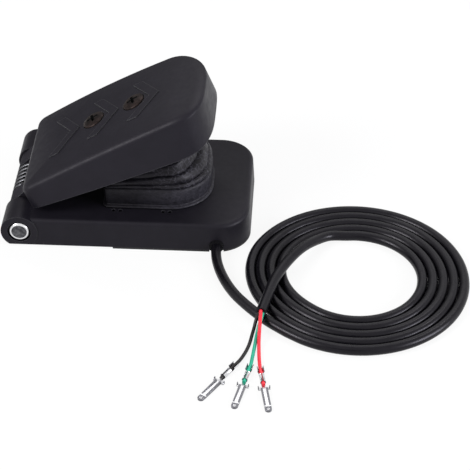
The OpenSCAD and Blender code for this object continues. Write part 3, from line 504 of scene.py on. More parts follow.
@dataclass(frozen=True)
class ShadedWire(Finish):
    """Spring wire, bright along its crest, painted black as painted shade between the turns and on the heel
    side.
    """

    # Black painted shade between the turns and on the heel side.
    wire_shade: Colour = (0.004, 0.004, 0.0045)
    lit_crest_r: Pair = (6.7, 7.0)
    lit_x: Pair = (-54.0, -51.5)

    def tint(self, skin: Skin) -> Socket:
        """The wire's shades on its crest, black painted shade below it and on the heel side.

        Args:
            skin: the sheet to draw on.

        Returns:
            The colour.
        """
        crest = skin.span(skin.hinge_reach(), self.lit_crest_r)
        lit = skin.math("MULTIPLY", crest, skin.span(skin.along("X"), self.lit_x))
        return skin.blend(lit, rgba(self.wire_shade), super().tint(skin))


# Painted highlights along its edges and painted shade in its corners.
PEDAL_PLASTIC = DullHinge(
    "pedal_plastic", (0.0074, 0.0065, 0.0100), (0.0090, 0.0080, 0.0120), (0.42, 0.5),
    specular=0.165, gloss=COOL_GLOSS, grain=2.6, relief=0.1, edge=0.5, edge_highlight=0.065)
# Painted highlights along its edges and painted shade in its corners.
HOUSING_PLASTIC = BoredPlastic(
    "housing_plastic", (0.0058, 0.0051, 0.0078), (0.0072, 0.0064, 0.0096), (0.44, 0.52),
    specular=0.16, gloss=COOL_GLOSS, grain=2.6, relief=0.1, edge=0.5, edge_highlight=0.03)
COVER_PLASTIC = Finish(
    "cover_plastic", (0.008, 0.008, 0.009), (0.011, 0.011, 0.012), (0.46, 0.58),
    specular=0.3, grain=2.2, edge=0.2)
FRAME_PLASTIC = Finish(
    "frame_plastic", (0.012, 0.012, 0.014), (0.018, 0.018, 0.02), (0.5, 0.62), specular=0.35, grain=2.0)
BOOT_RUBBER = CreasedRubber(
    "boot_rubber", (0.0027, 0.0024, 0.0035), (0.0100, 0.0092, 0.0128), (0.38, 0.56),
    specular=0.2, gloss=COOL_GLOSS, patches=0.3, grain=2.4, relief=0.45, depth=0.12)
STOP_RUBBER = Finish(
    "stop_rubber", (0.006, 0.006, 0.006), (0.011, 0.011, 0.011), (0.6, 0.75), specular=0.3, grain=1.6)
GROMMET_RUBBER = Finish(
    "grommet_rubber", (0.0025, 0.0024, 0.003), (0.0045, 0.0043, 0.0055), (0.5, 0.62),
    specular=0.1, grain=2.0)
# Pin with its end faces painted dark as a painted reflection.
PIN_STEEL = PaintedFacePin(
    "pin_steel", (0.78, 0.78, 0.79), (0.66, 0.66, 0.68), (0.16, 0.26),
    metallic=1.0, patches=0.5, grain=6.0, relief=0.06)
# Spring wire painted black as shade between its turns and on its heel side.
SPRING_STEEL = ShadedWire(
    "spring_steel", (0.105, 0.105, 0.113), (0.075, 0.075, 0.081), (0.3, 0.38),
    metallic=1.0, patches=0.4, grain=5.0, relief=0.05)
SMALL_SCREW_STEEL = Finish(
    "small_screw_steel", (0.5, 0.5, 0.51), (0.36, 0.36, 0.38), (0.26, 0.4),
    metallic=1.0, patches=0.6, grain=5.0, relief=0.05)
# The cross recess is painted black as painted shade.
SCREW_BRONZE = MarkedMetal(
    "pedal_screw_bronze", (0.031, 0.0220, 0.0205), (0.0125, 0.0092, 0.0090), (0.38, 0.5),
    specular=0.06, metallic=0.6, patches=0.45, grain=4.0, edge=0.12,
    mark="recess", other=(0.001, 0.001, 0.001))
MAGNET_NICKEL = Finish(
    "magnet_nickel", (0.62, 0.61, 0.58), (0.52, 0.51, 0.49), (0.16, 0.26),
    metallic=1.0, grain=6.0, relief=0.04)
BUSH_PLASTIC = Finish(
    "bush_plastic", (0.58, 0.55, 0.46), (0.5, 0.47, 0.39), (0.4, 0.5), grain=2.0, relief=0.06)
SENSOR_BODY = Finish(
    "sensor_body", (0.012, 0.012, 0.013), (0.02, 0.02, 0.021), (0.45, 0.6), grain=6.0)
BOARD_GREEN = Finish(
    "board_green", (0.012, 0.13, 0.04), (0.02, 0.17, 0.06), (0.25, 0.36),
    patches=0.5, grain=2.5, relief=0.06)
CORE_INSULATION = Finish(
    "core_insulation", (0.30, 0.03, 0.04), (0.24, 0.024, 0.03), (0.35, 0.45), grain=2.0, relief=0.05)
TIE_NYLON = Finish(
    "tie_nylon", (0.68, 0.68, 0.64), (0.6, 0.6, 0.56), (0.4, 0.5), grain=2.0, relief=0.05)
CABLE_JACKET = Finish(
    "cable_jacket", (0.0022, 0.0020, 0.0032), (0.0034, 0.0031, 0.0046), (0.26, 0.34),
    specular=0.21, gloss=(0.96, 0.92, 1.0), patches=0.1, grain=1.8, relief=0.08)
WIRE_BLACK = Finish(
    "wire_black", (0.006, 0.005, 0.005), (0.010, 0.008, 0.008), (0.3, 0.4),
    specular=0.3, grain=2.0, relief=0.06)
WIRE_GREEN = Finish(
    "wire_green", (0.016, 0.39, 0.245), (0.013, 0.33, 0.205), (0.32, 0.42),
    specular=0.4, grain=2.0, relief=0.06)
WIRE_RED = Finish(
    "wire_red", (0.80, 0.030, 0.050), (0.70, 0.024, 0.042), (0.32, 0.42),
    specular=0.4, grain=2.0, relief=0.06)
# Cut edges, rails, hooks and the tab's tip are painted dark grey, as dull cut metal and painted dark
# reflection.
TERMINAL_TIN = MarkedMetal(
    "terminal_tin", (0.78, 0.78, 0.79), (0.62, 0.62, 0.64), (0.14, 0.3),
    metallic=1.0, patches=0.6, grain=4.0, relief=0.08, mark="cut_and_dark_reflection", other=(0.16, 0.16, 0.175))


def put(name: str, data: bpy.types.ID) -> Piece:
    """Puts a mesh, curve, lamp or camera into the scene, at the origin.

    Args:
        name: the object's name.
        data: what the object holds.

    Returns:
        The new object.
    """
    holder = bpy.data.objects.new(name, data)
    bpy.context.scene.collection.objects.link(holder)
    return holder


def mesh_from(name: str, form: Form, sharp: float = 35.0) -> bpy.types.Mesh:
    """Turns a finished form into a mesh, smooth but for its sharp edges.

    Args:
        name: the mesh's name.
        form: the form, which is freed.
        sharp: the angle in degrees past which an edge stays sharp.

    Returns:
        The mesh.
    """
    for face in form.faces:
        face.smooth = True
    for edge in form.edges:
        edge.smooth = edge.is_manifold and edge.calc_face_angle(0.0) < math.radians(sharp)
    mesh = bpy.data.meshes.new(name)
    form.to_mesh(mesh)
    form.free()
    return mesh


def add_loft(form: Form, rings: list[Line], closed: bool = False) -> list[bmesh.types.BMFace]:
    """Adds a skin over rings of equal length.

    Args:
        form: the form that takes the skin.
        rings: the rings, in order.
        closed: whether the last ring joins the first, so that no end is filled.

    Returns:
        The new faces: round each pair of rings in turn, then the two ends.
    """
    rows = [[form.verts.new(p) for p in ring] for ring in rings]
    pairs = list(zip(rows, rows[1:]))
    if closed:
        pairs.append((rows[-1], rows[0]))
    faces = []
    for low, high in pairs:
        for k in range(len(low)):
            n = (k + 1) % len(low)
            faces.append(form.faces.new((low[k], low[n], high[n], high[k])))
    if not closed:
        faces.append(form.faces.new(rows[0][::-1]))
        faces.append(form.faces.new(rows[-1]))
    bmesh.ops.recalc_face_normals(form, faces=faces)
    return faces


def applied(piece: Piece) -> Piece:
    """Turns a piece's modifiers into plain mesh.

    Args:
        piece: the piece, whose modifiers are removed.

    Returns:
        The same piece.
    """
    graph = bpy.context.evaluated_depsgraph_get()
    made = bpy.data.meshes.new_from_object(piece.evaluated_get(graph))
    old = piece.data
    piece.modifiers.clear()
    piece.data = made
    made.name = piece.name
    bpy.data.meshes.remove(old)
    return piece


@dataclass
class Recipe:
    """A Geometry Nodes tree: its named inputs, with their kinds and the values that it runs with."""

    name: str
    sockets: dict[str, tuple[str, object]]
    ids: dict[str, str] = field(default_factory=dict)

    def start(self) -> tuple[NodeSheet, bpy.types.Node]:
        """Makes the tree with its inputs.

        Returns:
            The sheet to draw on, and the node that holds the inputs.
        """
        tree = bpy.data.node_groups.new(self.name, "GeometryNodeTree")
        kinds = {label: kind for label, (kind, _value) in self.sockets.items()}
        takes = {"Geometry": "NodeSocketGeometry", **kinds, "Finish": "NodeSocketMaterial"}
        for label, kind in takes.items():
            made = tree.interface.new_socket(label, in_out="INPUT", socket_type=kind)
            self.ids[label] = made.identifier
        tree.interface.new_socket("Geometry", in_out="OUTPUT", socket_type="NodeSocketGeometry")
        sheet = NodeSheet(tree)
        return sheet, sheet.add("NodeGroupInput")

    def end(self, sheet: NodeSheet, given: bpy.types.Node, shape: Socket) -> None:
        """Closes the tree: plain mesh in its material.

        Args:
            sheet: the sheet that was drawn on.
            given: the node that holds the inputs.
            shape: the finished geometry.
        """
        real = sheet.add("GeometryNodeRealizeInstances", {0: shape}).outputs[0]
        finish = {"Geometry": real, "Material": given.outputs["Finish"]}
        sheet.add("NodeGroupOutput", {0: sheet.add("GeometryNodeSetMaterial", finish).outputs[0]})

    def run(self, piece: Piece, sheet: NodeSheet, finish: Finish) -> Piece:
        """Runs the tree on a piece and keeps the plain mesh.

        Args:
            piece: the piece that the tree works on.
            sheet: the tree's sheet.
            finish: the finish of the result.

        Returns:
            The same piece, with its new mesh and no modifier.
        """
        step = piece.modifiers.new(self.name, "NODES")
        step.node_group = sheet.tree
        for label, (_kind, value) in self.sockets.items():
            step[self.ids[label]] = value
        step[self.ids["Finish"]] = finish.material()
        return applied(piece)


def sweep_wire(name: str, line: Line, radius: float, sides: int, finish: Finish) -> Piece:
    """A round wire along a line, drawn by Geometry Nodes.

    Args:
        name: the piece's name.
        line: the wire's middle line.
        radius: the wire's radius.
        sides: sides of its round section.
        finish: its finish.

    Returns:
        The wire as a plain mesh.
    """
    mesh = bpy.data.meshes.new(name)
    mesh.from_pydata(line, [(i, i + 1) for i in range(len(line) - 1)], [])
    piece = put(name, mesh)
    sizes = {"Radius": ("NodeSocketFloat", radius), "Sides": ("NodeSocketInt", sides)}
    recipe = Recipe("swept_wire", sizes)
    sheet, given = recipe.start()
    path = sheet.add("GeometryNodeMeshToCurve", {"Mesh": given.outputs["Geometry"]}).outputs[0]
    section = {"Resolution": given.outputs["Sides"], "Radius": given.outputs["Radius"]}
    circle = sheet.add("GeometryNodeCurvePrimitiveCircle", section).outputs[0]
    skin = {"Curve": path, "Profile Curve": circle, "Fill Caps": True}
    tube = sheet.add("GeometryNodeCurveToMesh", skin).outputs[0]
    recipe.end(sheet, given, sheet.add("GeometryNodeSetShadeSmooth", {"Geometry": tube}).outputs[0])
    return recipe.run(piece, sheet, finish)


def repeat_in_line(piece: Piece, count: int, step: Vector, finish: Finish) -> Piece:
    """Sets copies of a piece in a row, by Geometry Nodes.

    Args:
        piece: the first of them, in place.
        count: how many there are.
        step: the way from each to the next.
        finish: their finish.

    Returns:
        The piece, which holds the whole row.
    """
    sizes = {"Count": ("NodeSocketInt", count), "Step": ("NodeSocketVector", step)}
    recipe = Recipe("row_of_pieces", sizes)
    sheet, given = recipe.start()
    line = {"Count": given.outputs["Count"], "Offset": given.outputs["Step"]}
    points = sheet.add("GeometryNodeMeshLine", line).outputs[0]
    copies = {"Points": points, "Instance": given.outputs["Geometry"]}
    recipe.end(sheet, given, sheet.add("GeometryNodeInstanceOnPoints", copies).outputs[0])
    return recipe.run(piece, sheet, finish)


def crumple(piece: Piece, depth: float, size: float, seed: float, finish: Finish) -> Piece:
    """Pushes a skin in and out a little, as worn rubber is, by Geometry Nodes.

    Args:
        piece: the skin.
        depth: how far apart its highest and lowest places could lie.
        size: patches per metre.
        seed: which pattern it takes.
        finish: its finish.

    Returns:
        The crumpled piece.
    """
    sizes = {"Depth": depth, "Size": size, "Seed": seed}
    recipe = Recipe("rubber_creases", {k: ("NodeSocketFloat", v) for k, v in sizes.items()})
    sheet, given = recipe.start()
    lumps = {"W": given.outputs["Seed"], "Scale": given.outputs["Size"], "Detail": 3.0}
    rough = sheet.add("ShaderNodeTexNoise", lumps, noise_dimensions="4D").outputs[0]
    push = sheet.math("MULTIPLY", sheet.math("SUBTRACT", rough, 0.5), given.outputs["Depth"])
    outwards = {0: sheet.add("GeometryNodeInputNormal").outputs[0], "Scale": push}
    offset = sheet.add("ShaderNodeVectorMath", outwards, operation="SCALE").outputs[0]
    moved = {"Geometry": given.outputs["Geometry"], "Offset": offset}
    recipe.end(sheet, given, sheet.add("GeometryNodeSetPosition", moved).outputs[0])
    return recipe.run(piece, sheet, finish)


def hand_over(piece: Piece, body: Body, finish: Finish, *nodes: str) -> Piece:
    """Gives a finished piece its body and the nodes that it stands for.

    Args:
        piece: the piece.
        body: the body that it rides on.
        finish: not used.
        nodes: the nodes that it stands for.

    Returns:
        The same piece.
    """
    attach(piece, body.value)
    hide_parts(*nodes)
    LOG.info("%s rides on %s and stands for %s", piece.name, body.value, ", ".join(nodes))
    return piece


def stretch(piece: Piece, node: str, start: Vector, end: Vector) -> Piece:
    """Gives a finished piece that bends its node and its two bodies.

    Args:
        piece: the piece.
        node: the node that it stands for.
        start: where it still rests with the base.
        end: where it moves with the pedal.

    Returns:
        The same piece.
    """
    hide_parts(node)
    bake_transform(piece, Body.BASE.value, Body.PEDAL.value, start=start, end=end)
    LOG.info("%s bends between base and pedal and stands for %s", piece.name, node)
    return piece


def aimed(place: Point, aim: Point) -> Quaternion:
    """The turn that points a lamp or card from its place to its aim."""
    return (Vector(aim) - Vector(place)).to_track_quat("-Z", "Y")


@dataclass
class Softbox:
    """A rectangular studio lamp, sized in metres."""

    name: str
    place: Point
    aim: Point
    size: Pair
    watts: float
    tint: Colour = WHITE

    def hang(self) -> None:
        """Hangs the lamp and turns it to its aim."""
        lamp = bpy.data.lights.new(self.name, "AREA")
        lamp.shape = "RECTANGLE"
        lamp.size, lamp.size_y = self.size
        lamp.energy = self.watts
        lamp.color = self.tint
        holder = put(self.name, lamp)
        holder.location = self.place
        holder.rotation_mode = "QUATERNION"
        holder.rotation_quaternion = aimed(self.place, self.aim)


@dataclass
class Card:
    """A grey card that shows only in reflections, sized in metres."""

    name: str
    place: Point
    aim: Point
    size: Pair
    level: float

    def hang(self) -> None:
        """Hangs the card and turns it to its aim."""
        form = bmesh.new()
        bmesh.ops.create_grid(form, x_segments=1, y_segments=1, size=0.5)
        turn = aimed(self.place, self.aim).to_matrix().to_4x4()
        place = Matrix.Translation(self.place) @ turn @ Matrix.Diagonal((*self.size, 1.0, 1.0))
        bmesh.ops.transform(form, matrix=place, verts=form.verts)
        card = put(self.name, mesh_from(self.name, form))
        paint = bpy.data.materials.new(self.name)
        paint.use_nodes = True
        sheet = NodeSheet(paint.node_tree)
        grey = sheet.add("ShaderNodeEmission", {"Strength": self.level}).outputs[0]
        sheet.add("ShaderNodeOutputMaterial", {"Surface": grey})
        card.data.materials.append(paint)
        card.visible_camera = False
        card.visible_diffuse = False
        card.visible_shadow = False


@dataclass
class Studio:
    """Camera, lamps, white surroundings and floor. Lamps and cards are placed in metres."""

    azimuth: float = 3.03
    elevation: float = 38.5
    distance: float = 746.4
    target: Point = (48.09, -21.54, 0.0)
    focal_px: float = 1666.3
    image_px: float = 470.0
    sensor: float = 36.0
    fill: float = 0.46
    white: float = 1.0
    floor_half: float = 4.0
    floor_drop: float = 0.06
    floor_lift: float = 0.88
    floor_colour: Colour = (0.85, 0.85, 0.85)
    middle: Point = (0.04, -0.02, 0.02)
    terminals: Point = (0.053, -0.12, 0.0)

    def build(self) -> None:
        """Sets up the whole studio."""
        bpy.context.scene.view_settings.view_transform = "Standard"
        self.place_camera()
        self.light_world()
        for item in (*self.softboxes(), *self.cards()):
            item.hang()
        self.lay_floor()

    def softboxes(self) -> list[Softbox]:
        """The lamps: one at the heel side, one at the toe side, one behind."""
        return [
            Softbox("heel_softbox", (-0.68, -0.44, 0.62), self.middle, (0.4, 0.4), 8.0),
            Softbox("toe_softbox", (0.9, -0.34, 0.3), self.middle, (0.5, 0.4), 9.0, (0.93, 0.95, 1.0)),
            Softbox("back_softbox", (0.15, 0.5, 0.8), self.middle, (0.7, 0.14), 2.5),
        ]

    def cards(self) -> list[Card]:
        """The cards: one behind the pedal's tops, two for the terminals' edges and faces."""
        return [
            Card("back_card", (-0.1, 0.15, 0.1), (-0.1, 0.0, 0.1), (0.36, 0.2), 0.24),
            Card("edge_card", (0.06, -0.3, 0.145), self.terminals, (0.14, 0.08), 0.02),
            Card("face_card", (0.045, 0.085, 0.172), self.terminals, (0.26, 0.17), 1.0),
        ]

    def place_camera(self) -> None:
        """Stands the camera at the photograph's viewing angle."""
        a, e = math.radians(self.azimuth), math.radians(self.elevation)
        back = Vector((math.sin(a) * math.cos(e), -math.cos(a) * math.cos(e), math.sin(e)))
        lens = bpy.data.cameras.new("camera")
        lens.sensor_width = self.sensor
        lens.lens = self.focal_px * self.sensor / self.image_px
        holder = put("camera", lens)
        holder.location = mm(*self.target) + back * self.distance * MM
        holder.rotation_mode = "QUATERNION"
        holder.rotation_quaternion = (-back).to_track_quat("-Z", "Y")
        bpy.context.scene.camera = holder

    def seen(self, sheet: NodeSheet) -> Socket:
        """Tells what is looked at from what only gives light.

        Args:
            sheet: the sheet to draw on.

        Returns:
            1 for rays from the camera and for reflections, 0 for light that falls on a surface.
        """
        path = sheet.add("ShaderNodeLightPath").outputs
        mirror = sheet.math("MAXIMUM", path["Is Glossy Ray"], path["Is Transmission Ray"])
        return sheet.math("MAXIMUM", path["Is Camera Ray"], mirror)

    def light_world(self) -> None:
        """White surroundings, with a plain level of fill light."""
        world = bpy.data.worlds.new("white_room")
        world.use_nodes = True
        bpy.context.scene.world = world
        sheet = NodeSheet(world.node_tree)
        soft, white = (
            sheet.add("ShaderNodeBackground", {"Color": rgba(WHITE), "Strength": level}).outputs[0]
            for level in (self.fill, self.white)
        )
        mixed = sheet.add("ShaderNodeMixShader", {0: self.seen(sheet), 1: soft, 2: white}).outputs[0]
        sheet.add("ShaderNodeOutputWorld", {"Surface": mixed})

    def lay_floor(self) -> None:
        """A pale floor that shows white and keeps the shadows."""
        form = bmesh.new()
        bmesh.ops.create_grid(form, x_segments=1, y_segments=1, size=self.floor_half)
        bmesh.ops.translate(form, verts=form.verts, vec=(0.0, 0.0, -self.floor_drop * MM))
        floor = put("floor", mesh_from("floor", form))
        paint = bpy.data.materials.new("pale_floor")
        paint.use_nodes = True
        sheet = NodeSheet(paint.node_tree)
        matte = sheet.add("ShaderNodeBsdfDiffuse", {"Color": rgba(self.floor_colour)}).outputs[0]
        glow = sheet.add("ShaderNodeEmission", {"Strength": self.white}).outputs[0]
        share = sheet.math("MULTIPLY", self.seen(sheet), self.floor_lift)
        mixed = sheet.add("ShaderNodeMixShader", {0: share, 1: matte, 2: glow}).outputs[0]
        sheet.add("ShaderNodeOutputMaterial", {"Surface": mixed})
        floor.data.materials.append(paint)


def lay_curve(name: str, line: Line, radius: float, finish: Finish) -> Piece:
    """A cord as a curve of one open spline.

    Args:
        name: the piece's name.
        line: its middle line.
        radius: its radius.
        finish: its finish.

    Returns:
        The curve object.
    """
    curve = bpy.data.curves.new(name, "CURVE")
    curve.dimensions = "3D"
    curve.bevel_depth = radius
    curve.bevel_resolution = CORD_ROUNDNESS
    curve.use_fill_caps = True
    spline = curve.splines.new("POLY")
    spline.points.add(len(line) - 1)
    for point, place in zip(spline.points, line):
        point.co = (*place, 1.0)
    spline.use_smooth = True
    curve.materials.append(finish.material())
    return put(name, curve)


@dataclass
class Cable:
    """The three-core cable: out of the base, round a flat coil, and over it to its bare end."""

    diameter: float = 4.5
    exit_at: Point = (40.5, -35.0, 3.2)
    centre: Pair = (101.8, -50.8)
    turn_r: float = 46.75
    lie_z: float = 2.25
    first_deg: int = 234
    last_deg: int = 1898
    every_deg: int = 8
    step_from: float = 150.0
    step_to: float = 235.0
    per_point: int = 4
    lead: tuple[Point, ...] = (
        (40.5, -22, 3.2), (40.5, -31, 3.2), (40.5, -35, 3.2), (40.8, -40, 2.95), (41.7, -45, 2.6),
        (43.6, -51.2, 2.3), (46.6, -58.3, 2.25), (50.4, -65, 2.25), (55, -71, 2.25),
        (60, -76.6, 2.25), (65.4, -81.8, 2.25), (72, -87, 2.25),
    )
    tail: tuple[Point, ...] = (
        (90.5, -23.4, 2.75), (85.2, -27.7, 3.95), (80.4, -33.6, 5.55), (76.2, -40, 6.6),
        (72.4, -46.8, 6.8), (69.6, -52.8, 6.8), (67.2, -59.3, 6.8), (65.5, -65.5, 6.8),
        (64.2, -71.2, 6.8), (63.1, -76, 6.8), (62.1, -81, 6.8),
    )

    def coil(self) -> list[Point]:
        """Lays the coil: round turns that each step in by one diameter on one side.

        Returns:
            The points of the coil.
        """
        points = []
        for deg in range(self.first_deg, self.last_deg + 1, self.every_deg):
            part = (deg % 360 - self.step_from) / (self.step_to - self.step_from)
            steps = deg // 360 - 1 + smoothstep(part) if deg >= 360 else 0.0
            r = self.turn_r - self.diameter * steps
            a = math.radians(deg)
            points.append((self.centre[0] + r * math.cos(a), self.centre[1] + r * math.sin(a), self.lie_z))
        return points

    def build(self) -> Piece:
        """Returns:
            The cable.
        """
        route = [mm(*p) for p in (*self.lead, *self.coil(), *self.tail)]
        line = smooth_line(route, self.per_point)
        piece = lay_curve("cable", line, self.diameter / 2 * MM, CABLE_JACKET)
        hand_over(piece, Body.BASE, CABLE_JACKET, "cable_lead", "cable_coil", "cable_tail")
        return piece


@dataclass
class Tab:
    """A stamped tab terminal, lying along +X from the mouth of its crimp."""

    colour: str
    mouth: Pair
    heading: float
    length: float = 25.0
    metal: float = 0.35
    wire_r: float = 0.75
    wrap_sides: int = 24
    bell: float = 0.12
    bell_l: float = 0.25
    flare_from: float = 0.6
    crimp_l: float = 3.0
    crimp_deg: float = 128.0
    crimp_flare: float = 0.55
    barrel_x: float = 4.4
    barrel_l: float = 4.5
    barrel_deg: float = 168.0
    barrel_flare: float = 0.05
    strip_w: float = 1.6
    lap: float = 0.2
    tab_x: float = 12.0
    tab_w: float = 2.8
    tab_t: float = 0.8
    hole_r: float = 0.6
    rim_steps: int = 32
    shoulder_w: float = 5.0
    shoulder_l: float = 1.0
    shoulder_t: float = 0.6
    # Share of the shoulder painted dark grey, as dull cut metal and painted dark reflection.
    shoulder_dark: float = 0.5
    hook_l: float = 0.7
    hook_z: Pair = (0.5, 1.5)
    rail_w: float = 0.75
    rail_top: float = 1.35
    rail_sink: float = 0.05
    rail_taper: float = 0.5
    rail_short: float = 3.4
    soft: float = 0.06
    soft_deg: float = 50.0

    def wrap(self, form: Form, x0: float, x1: float, half_deg: float, flare: float) -> None:
        """Adds a strip of metal wrapped round the wire.

        Args:
            form: the form that takes it.
            x0: where the strip starts.
            x1: where it ends.
            half_deg: how far it reaches round from the bottom, on each side.
            flare: how far its edges stand off the wire.
        """
        middle = self.wire_r + self.metal
        spans = range(self.wrap_sides + 1)
        around = [(k, self.metal) for k in spans] + [(k, 0.0) for k in reversed(spans)]
        stations = ((x0, self.bell), (x0 + self.bell_l, 0.0), (x1 - self.bell_l, 0.0), (x1, self.bell))
        rings = []
        for x, bell in stations:
            ring = []
            for k, outside in around:
                share = 2 * k / self.wrap_sides - 1
                a = math.radians(DOWN_DEG + half_deg * share)
                stand_off = flare * smoothstep((abs(share) - self.flare_from) / (1 - self.flare_from))
                r = self.wire_r + bell + stand_off + outside
                ring.append(Vector((x, r * math.cos(a), max(middle + r * math.sin(a), 0.0))))
            rings.append(ring)
        cut = form.faces.layers.float[TERMINAL_TIN.mark]
        faces = add_loft(form, rings)
        # The two ends and the two long edges are painted dark grey, as dull cut metal and painted dark
        # reflection.
        for i, face in enumerate(faces):
            column = i % len(around)
            face[cut] = float(i >= len(faces) - 2 or column % len(spans) == self.wrap_sides)

    def block(self, form: Form, low: Point, high: Point, taper: float = 0.0, grey: float = 0.0) -> None:
        """Adds a small block of metal.

        Args:
            form: the form that takes it.
            low: its lowest corner.
            high: its highest corner.
            taper: how much lower it is at its far end.
            grey: how far it is painted dark grey, as dull cut metal and painted dark reflection.
        """
        rings = []
        for x, top in ((low[0], high[2]), (high[0], high[2] - taper)):
            corners = ((low[1], low[2]), (high[1], low[2]), (high[1], top), (low[1], top))
            rings.append([Vector((x, y, z)) for y, z in corners])
        cut = form.faces.layers.float[TERMINAL_TIN.mark]
        for face in add_loft(form, rings):
            face[cut] = grey

    def blade(self, form: Form) -> None:
        """Adds the flat tab with its round tip and the hole in it.

        Args:
            form: the form that takes it.
        """
        half = self.tab_w / 2
        hub = self.length - half
        count = self.rim_steps
        turn = [2 * math.pi * k / count for k in range(count)]
        rims = []
        for a in turn:
            c, s = math.cos(a), math.sin(a)
            reach = 1.0 if c >= 0 else 1.0 / max(abs(c), abs(s))
            rims.append((hub + half * c * reach, half * s * reach))
        holes = [(hub + self.hole_r * math.cos(a), self.hole_r * math.sin(a)) for a in turn]
        levels = (0.0, self.tab_t)
        loops = [[form.verts.new((*p, z)) for p in loop] for z in levels for loop in (rims, holes)]
        low_rim, low_hole, high_rim, high_hole = loops
        starts = [[form.verts.new((self.tab_x, y, z)) for y in (half, -half)] for z in levels]
        # The rim is open from first to last, where the straight part joins it.
        first, last = count * 3 // 8, count * 5 // 8
        quads = []
        for k in range(count):
            n = (k + 1) % count
            quads.append((high_rim[k], high_rim[n], high_hole[n], high_hole[k]))
            quads.append((low_rim[n], low_rim[k], low_hole[k], low_hole[n]))
            quads.append((high_hole[k], high_hole[n], low_hole[n], low_hole[k]))
            if not first <= k < last:
                quads.append((high_rim[n], high_rim[k], low_rim[k], low_rim[n]))
        for rim, start in ((high_rim, starts[1]), (low_rim, starts[0])):
            quads.append((*rim[first:last + 1], start[1], start[0]))
        for k, side in ((first, 0), (last, 1)):
            quads.append((high_rim[k], low_rim[k], starts[0][side], starts[1][side]))
        quads.append((*starts[0], *starts[1][::-1]))
        faces = [form.faces.new(corners) for corners in quads]
        bmesh.ops.recalc_face_normals(form, faces=faces)
        cut = form.faces.layers.float[TERMINAL_TIN.mark]
        for face in faces:
            flat = abs(face.normal.z) > 0.5
            middle = face.calc_center_median()
            punched = math.hypot(middle.x - hub, middle.y) < self.hole_r
            # The tip and the sides of the tab are painted dark grey, as dull cut metal and painted dark
            # reflection.
            face[cut] = float((middle.x > hub - half or not flat) and not punched)

    def sides(self, form: Form) -> None:
        """Adds the hooks of the shoulder and the folded rails of the tab.

        Args:
            form: the form that takes them.
        """
        wide, half = self.shoulder_w / 2, self.tab_w / 2
        start = self.tab_x - self.shoulder_l
        for s in (-1, 1):
            low, high = sorted((s * wide, s * (wide - self.metal)))
            # Hooks and rails are painted dark grey all over, as dull cut metal and painted dark reflection.
            self.block(form, (start, low, self.hook_z[0]), (start + self.hook_l, high, self.hook_z[1]),
                grey=1.0)
            low, high = sorted((s * half, s * (half - self.rail_w)))
            self.block(form, (self.tab_x, low, self.tab_t - self.rail_sink),
                (self.length - self.rail_short, high, self.rail_top), self.rail_taper, grey=1.0)

    def build(self) -> Piece:
        """Stamps the terminal and lays it where its wire ends.

        Returns:
            The terminal.
        """
        form = bmesh.new()
        form.faces.layers.float.new(TERMINAL_TIN.mark)
        self.wrap(form, 0.0, self.crimp_l, self.crimp_deg, self.crimp_flare)
        barrel_end = self.barrel_x + self.barrel_l
        self.wrap(form, self.barrel_x, barrel_end, self.barrel_deg, self.barrel_flare)
        strip, wide = self.strip_w / 2, self.shoulder_w / 2
        end = self.tab_x + self.lap
        self.block(form, (self.crimp_l - self.lap, -strip, 0.0), (end, strip, self.metal))
        self.block(form, (self.tab_x - self.shoulder_l, -wide, 0.0), (end, wide, self.shoulder_t),
            grey=self.shoulder_dark)
        self.sides(form)
        self.blade(form)
        turn = Matrix.Rotation(math.radians(self.heading), 4, "Z")
        place = Matrix.Translation(mm(*self.mouth, 0.0)) @ turn @ Matrix.Scale(MM, 4)
        bmesh.ops.transform(form, matrix=place, verts=form.verts)
        name = f"tab_{self.colour}"
        piece = put(name, mesh_from(name, form))
        piece.data.materials.append(TERMINAL_TIN.material())
        bevel = piece.modifiers.new("soft_edges", "BEVEL")
        bevel.width = self.soft * MM
        bevel.segments = 2
        bevel.limit_method = "ANGLE"
        bevel.angle_limit = math.radians(self.soft_deg)
        return hand_over(applied(piece), Body.BASE, TERMINAL_TIN, f"terminal_{self.colour}")


@dataclass
class Core:
    """One insulated core, from the end of the jacket into its terminal."""

    tab: Tab
    finish: Finish
    route: tuple[Point, ...]
    diameter: float = 1.5
    into: tuple[float, ...] = (0.0, 4.4, 10.2)
    per_point: int = 6

    def build(self) -> Piece:
        """Returns:
            The core.
        """
        a = math.radians(self.tab.heading)
        x, y = self.tab.mouth
        z = self.tab.wire_r + self.tab.metal
        ends = [(x + d * math.cos(a), y + d * math.sin(a), z) for d in self.into]
        line = smooth_line([mm(*p) for p in (*self.route, *ends)], self.per_point)
        terminal = self.tab.build()
        piece = lay_curve(f"core_{self.tab.colour}", line, self.diameter / 2 * MM, self.finish)
        hand_over(piece, Body.BASE, self.finish, f"wire_{self.tab.colour}")
        return piece


def cores() -> list[Core]:
    """The three cores with their terminals."""
    return [
        Core(Tab("black", (53.0, -107.3), -123.2), WIRE_BLACK, (
            (61.1, -81, 6.3), (60.2, -83.5, 4.6), (59.5, -86, 2.4), (58.7, -89.5, 1.0),
            (57.9, -94.4, 0.8), (56.7, -99, 0.8), (54.9, -103.6, 0.8))),
        Core(Tab("green", (59.0, -107.8), -103.0), WIRE_GREEN, (
            (62.8, -81, 6.3), (62.2, -84, 5.2), (61.3, -87, 3.4), (60.7, -90, 1.6),
            (60.2, -95, 0.8), (59.6, -101.5, 0.8))),
        Core(Tab("red", (62.9, -108.8), -79.6), WIRE_RED, (
            (62.0, -81, 7.6), (62.0, -84, 7.0), (61.9, -87, 5.4), (61.8, -90, 3.6),
            (61.8, -94, 1.8), (62.0, -98, 0.9), (62.3, -103, 0.8))),
    ]


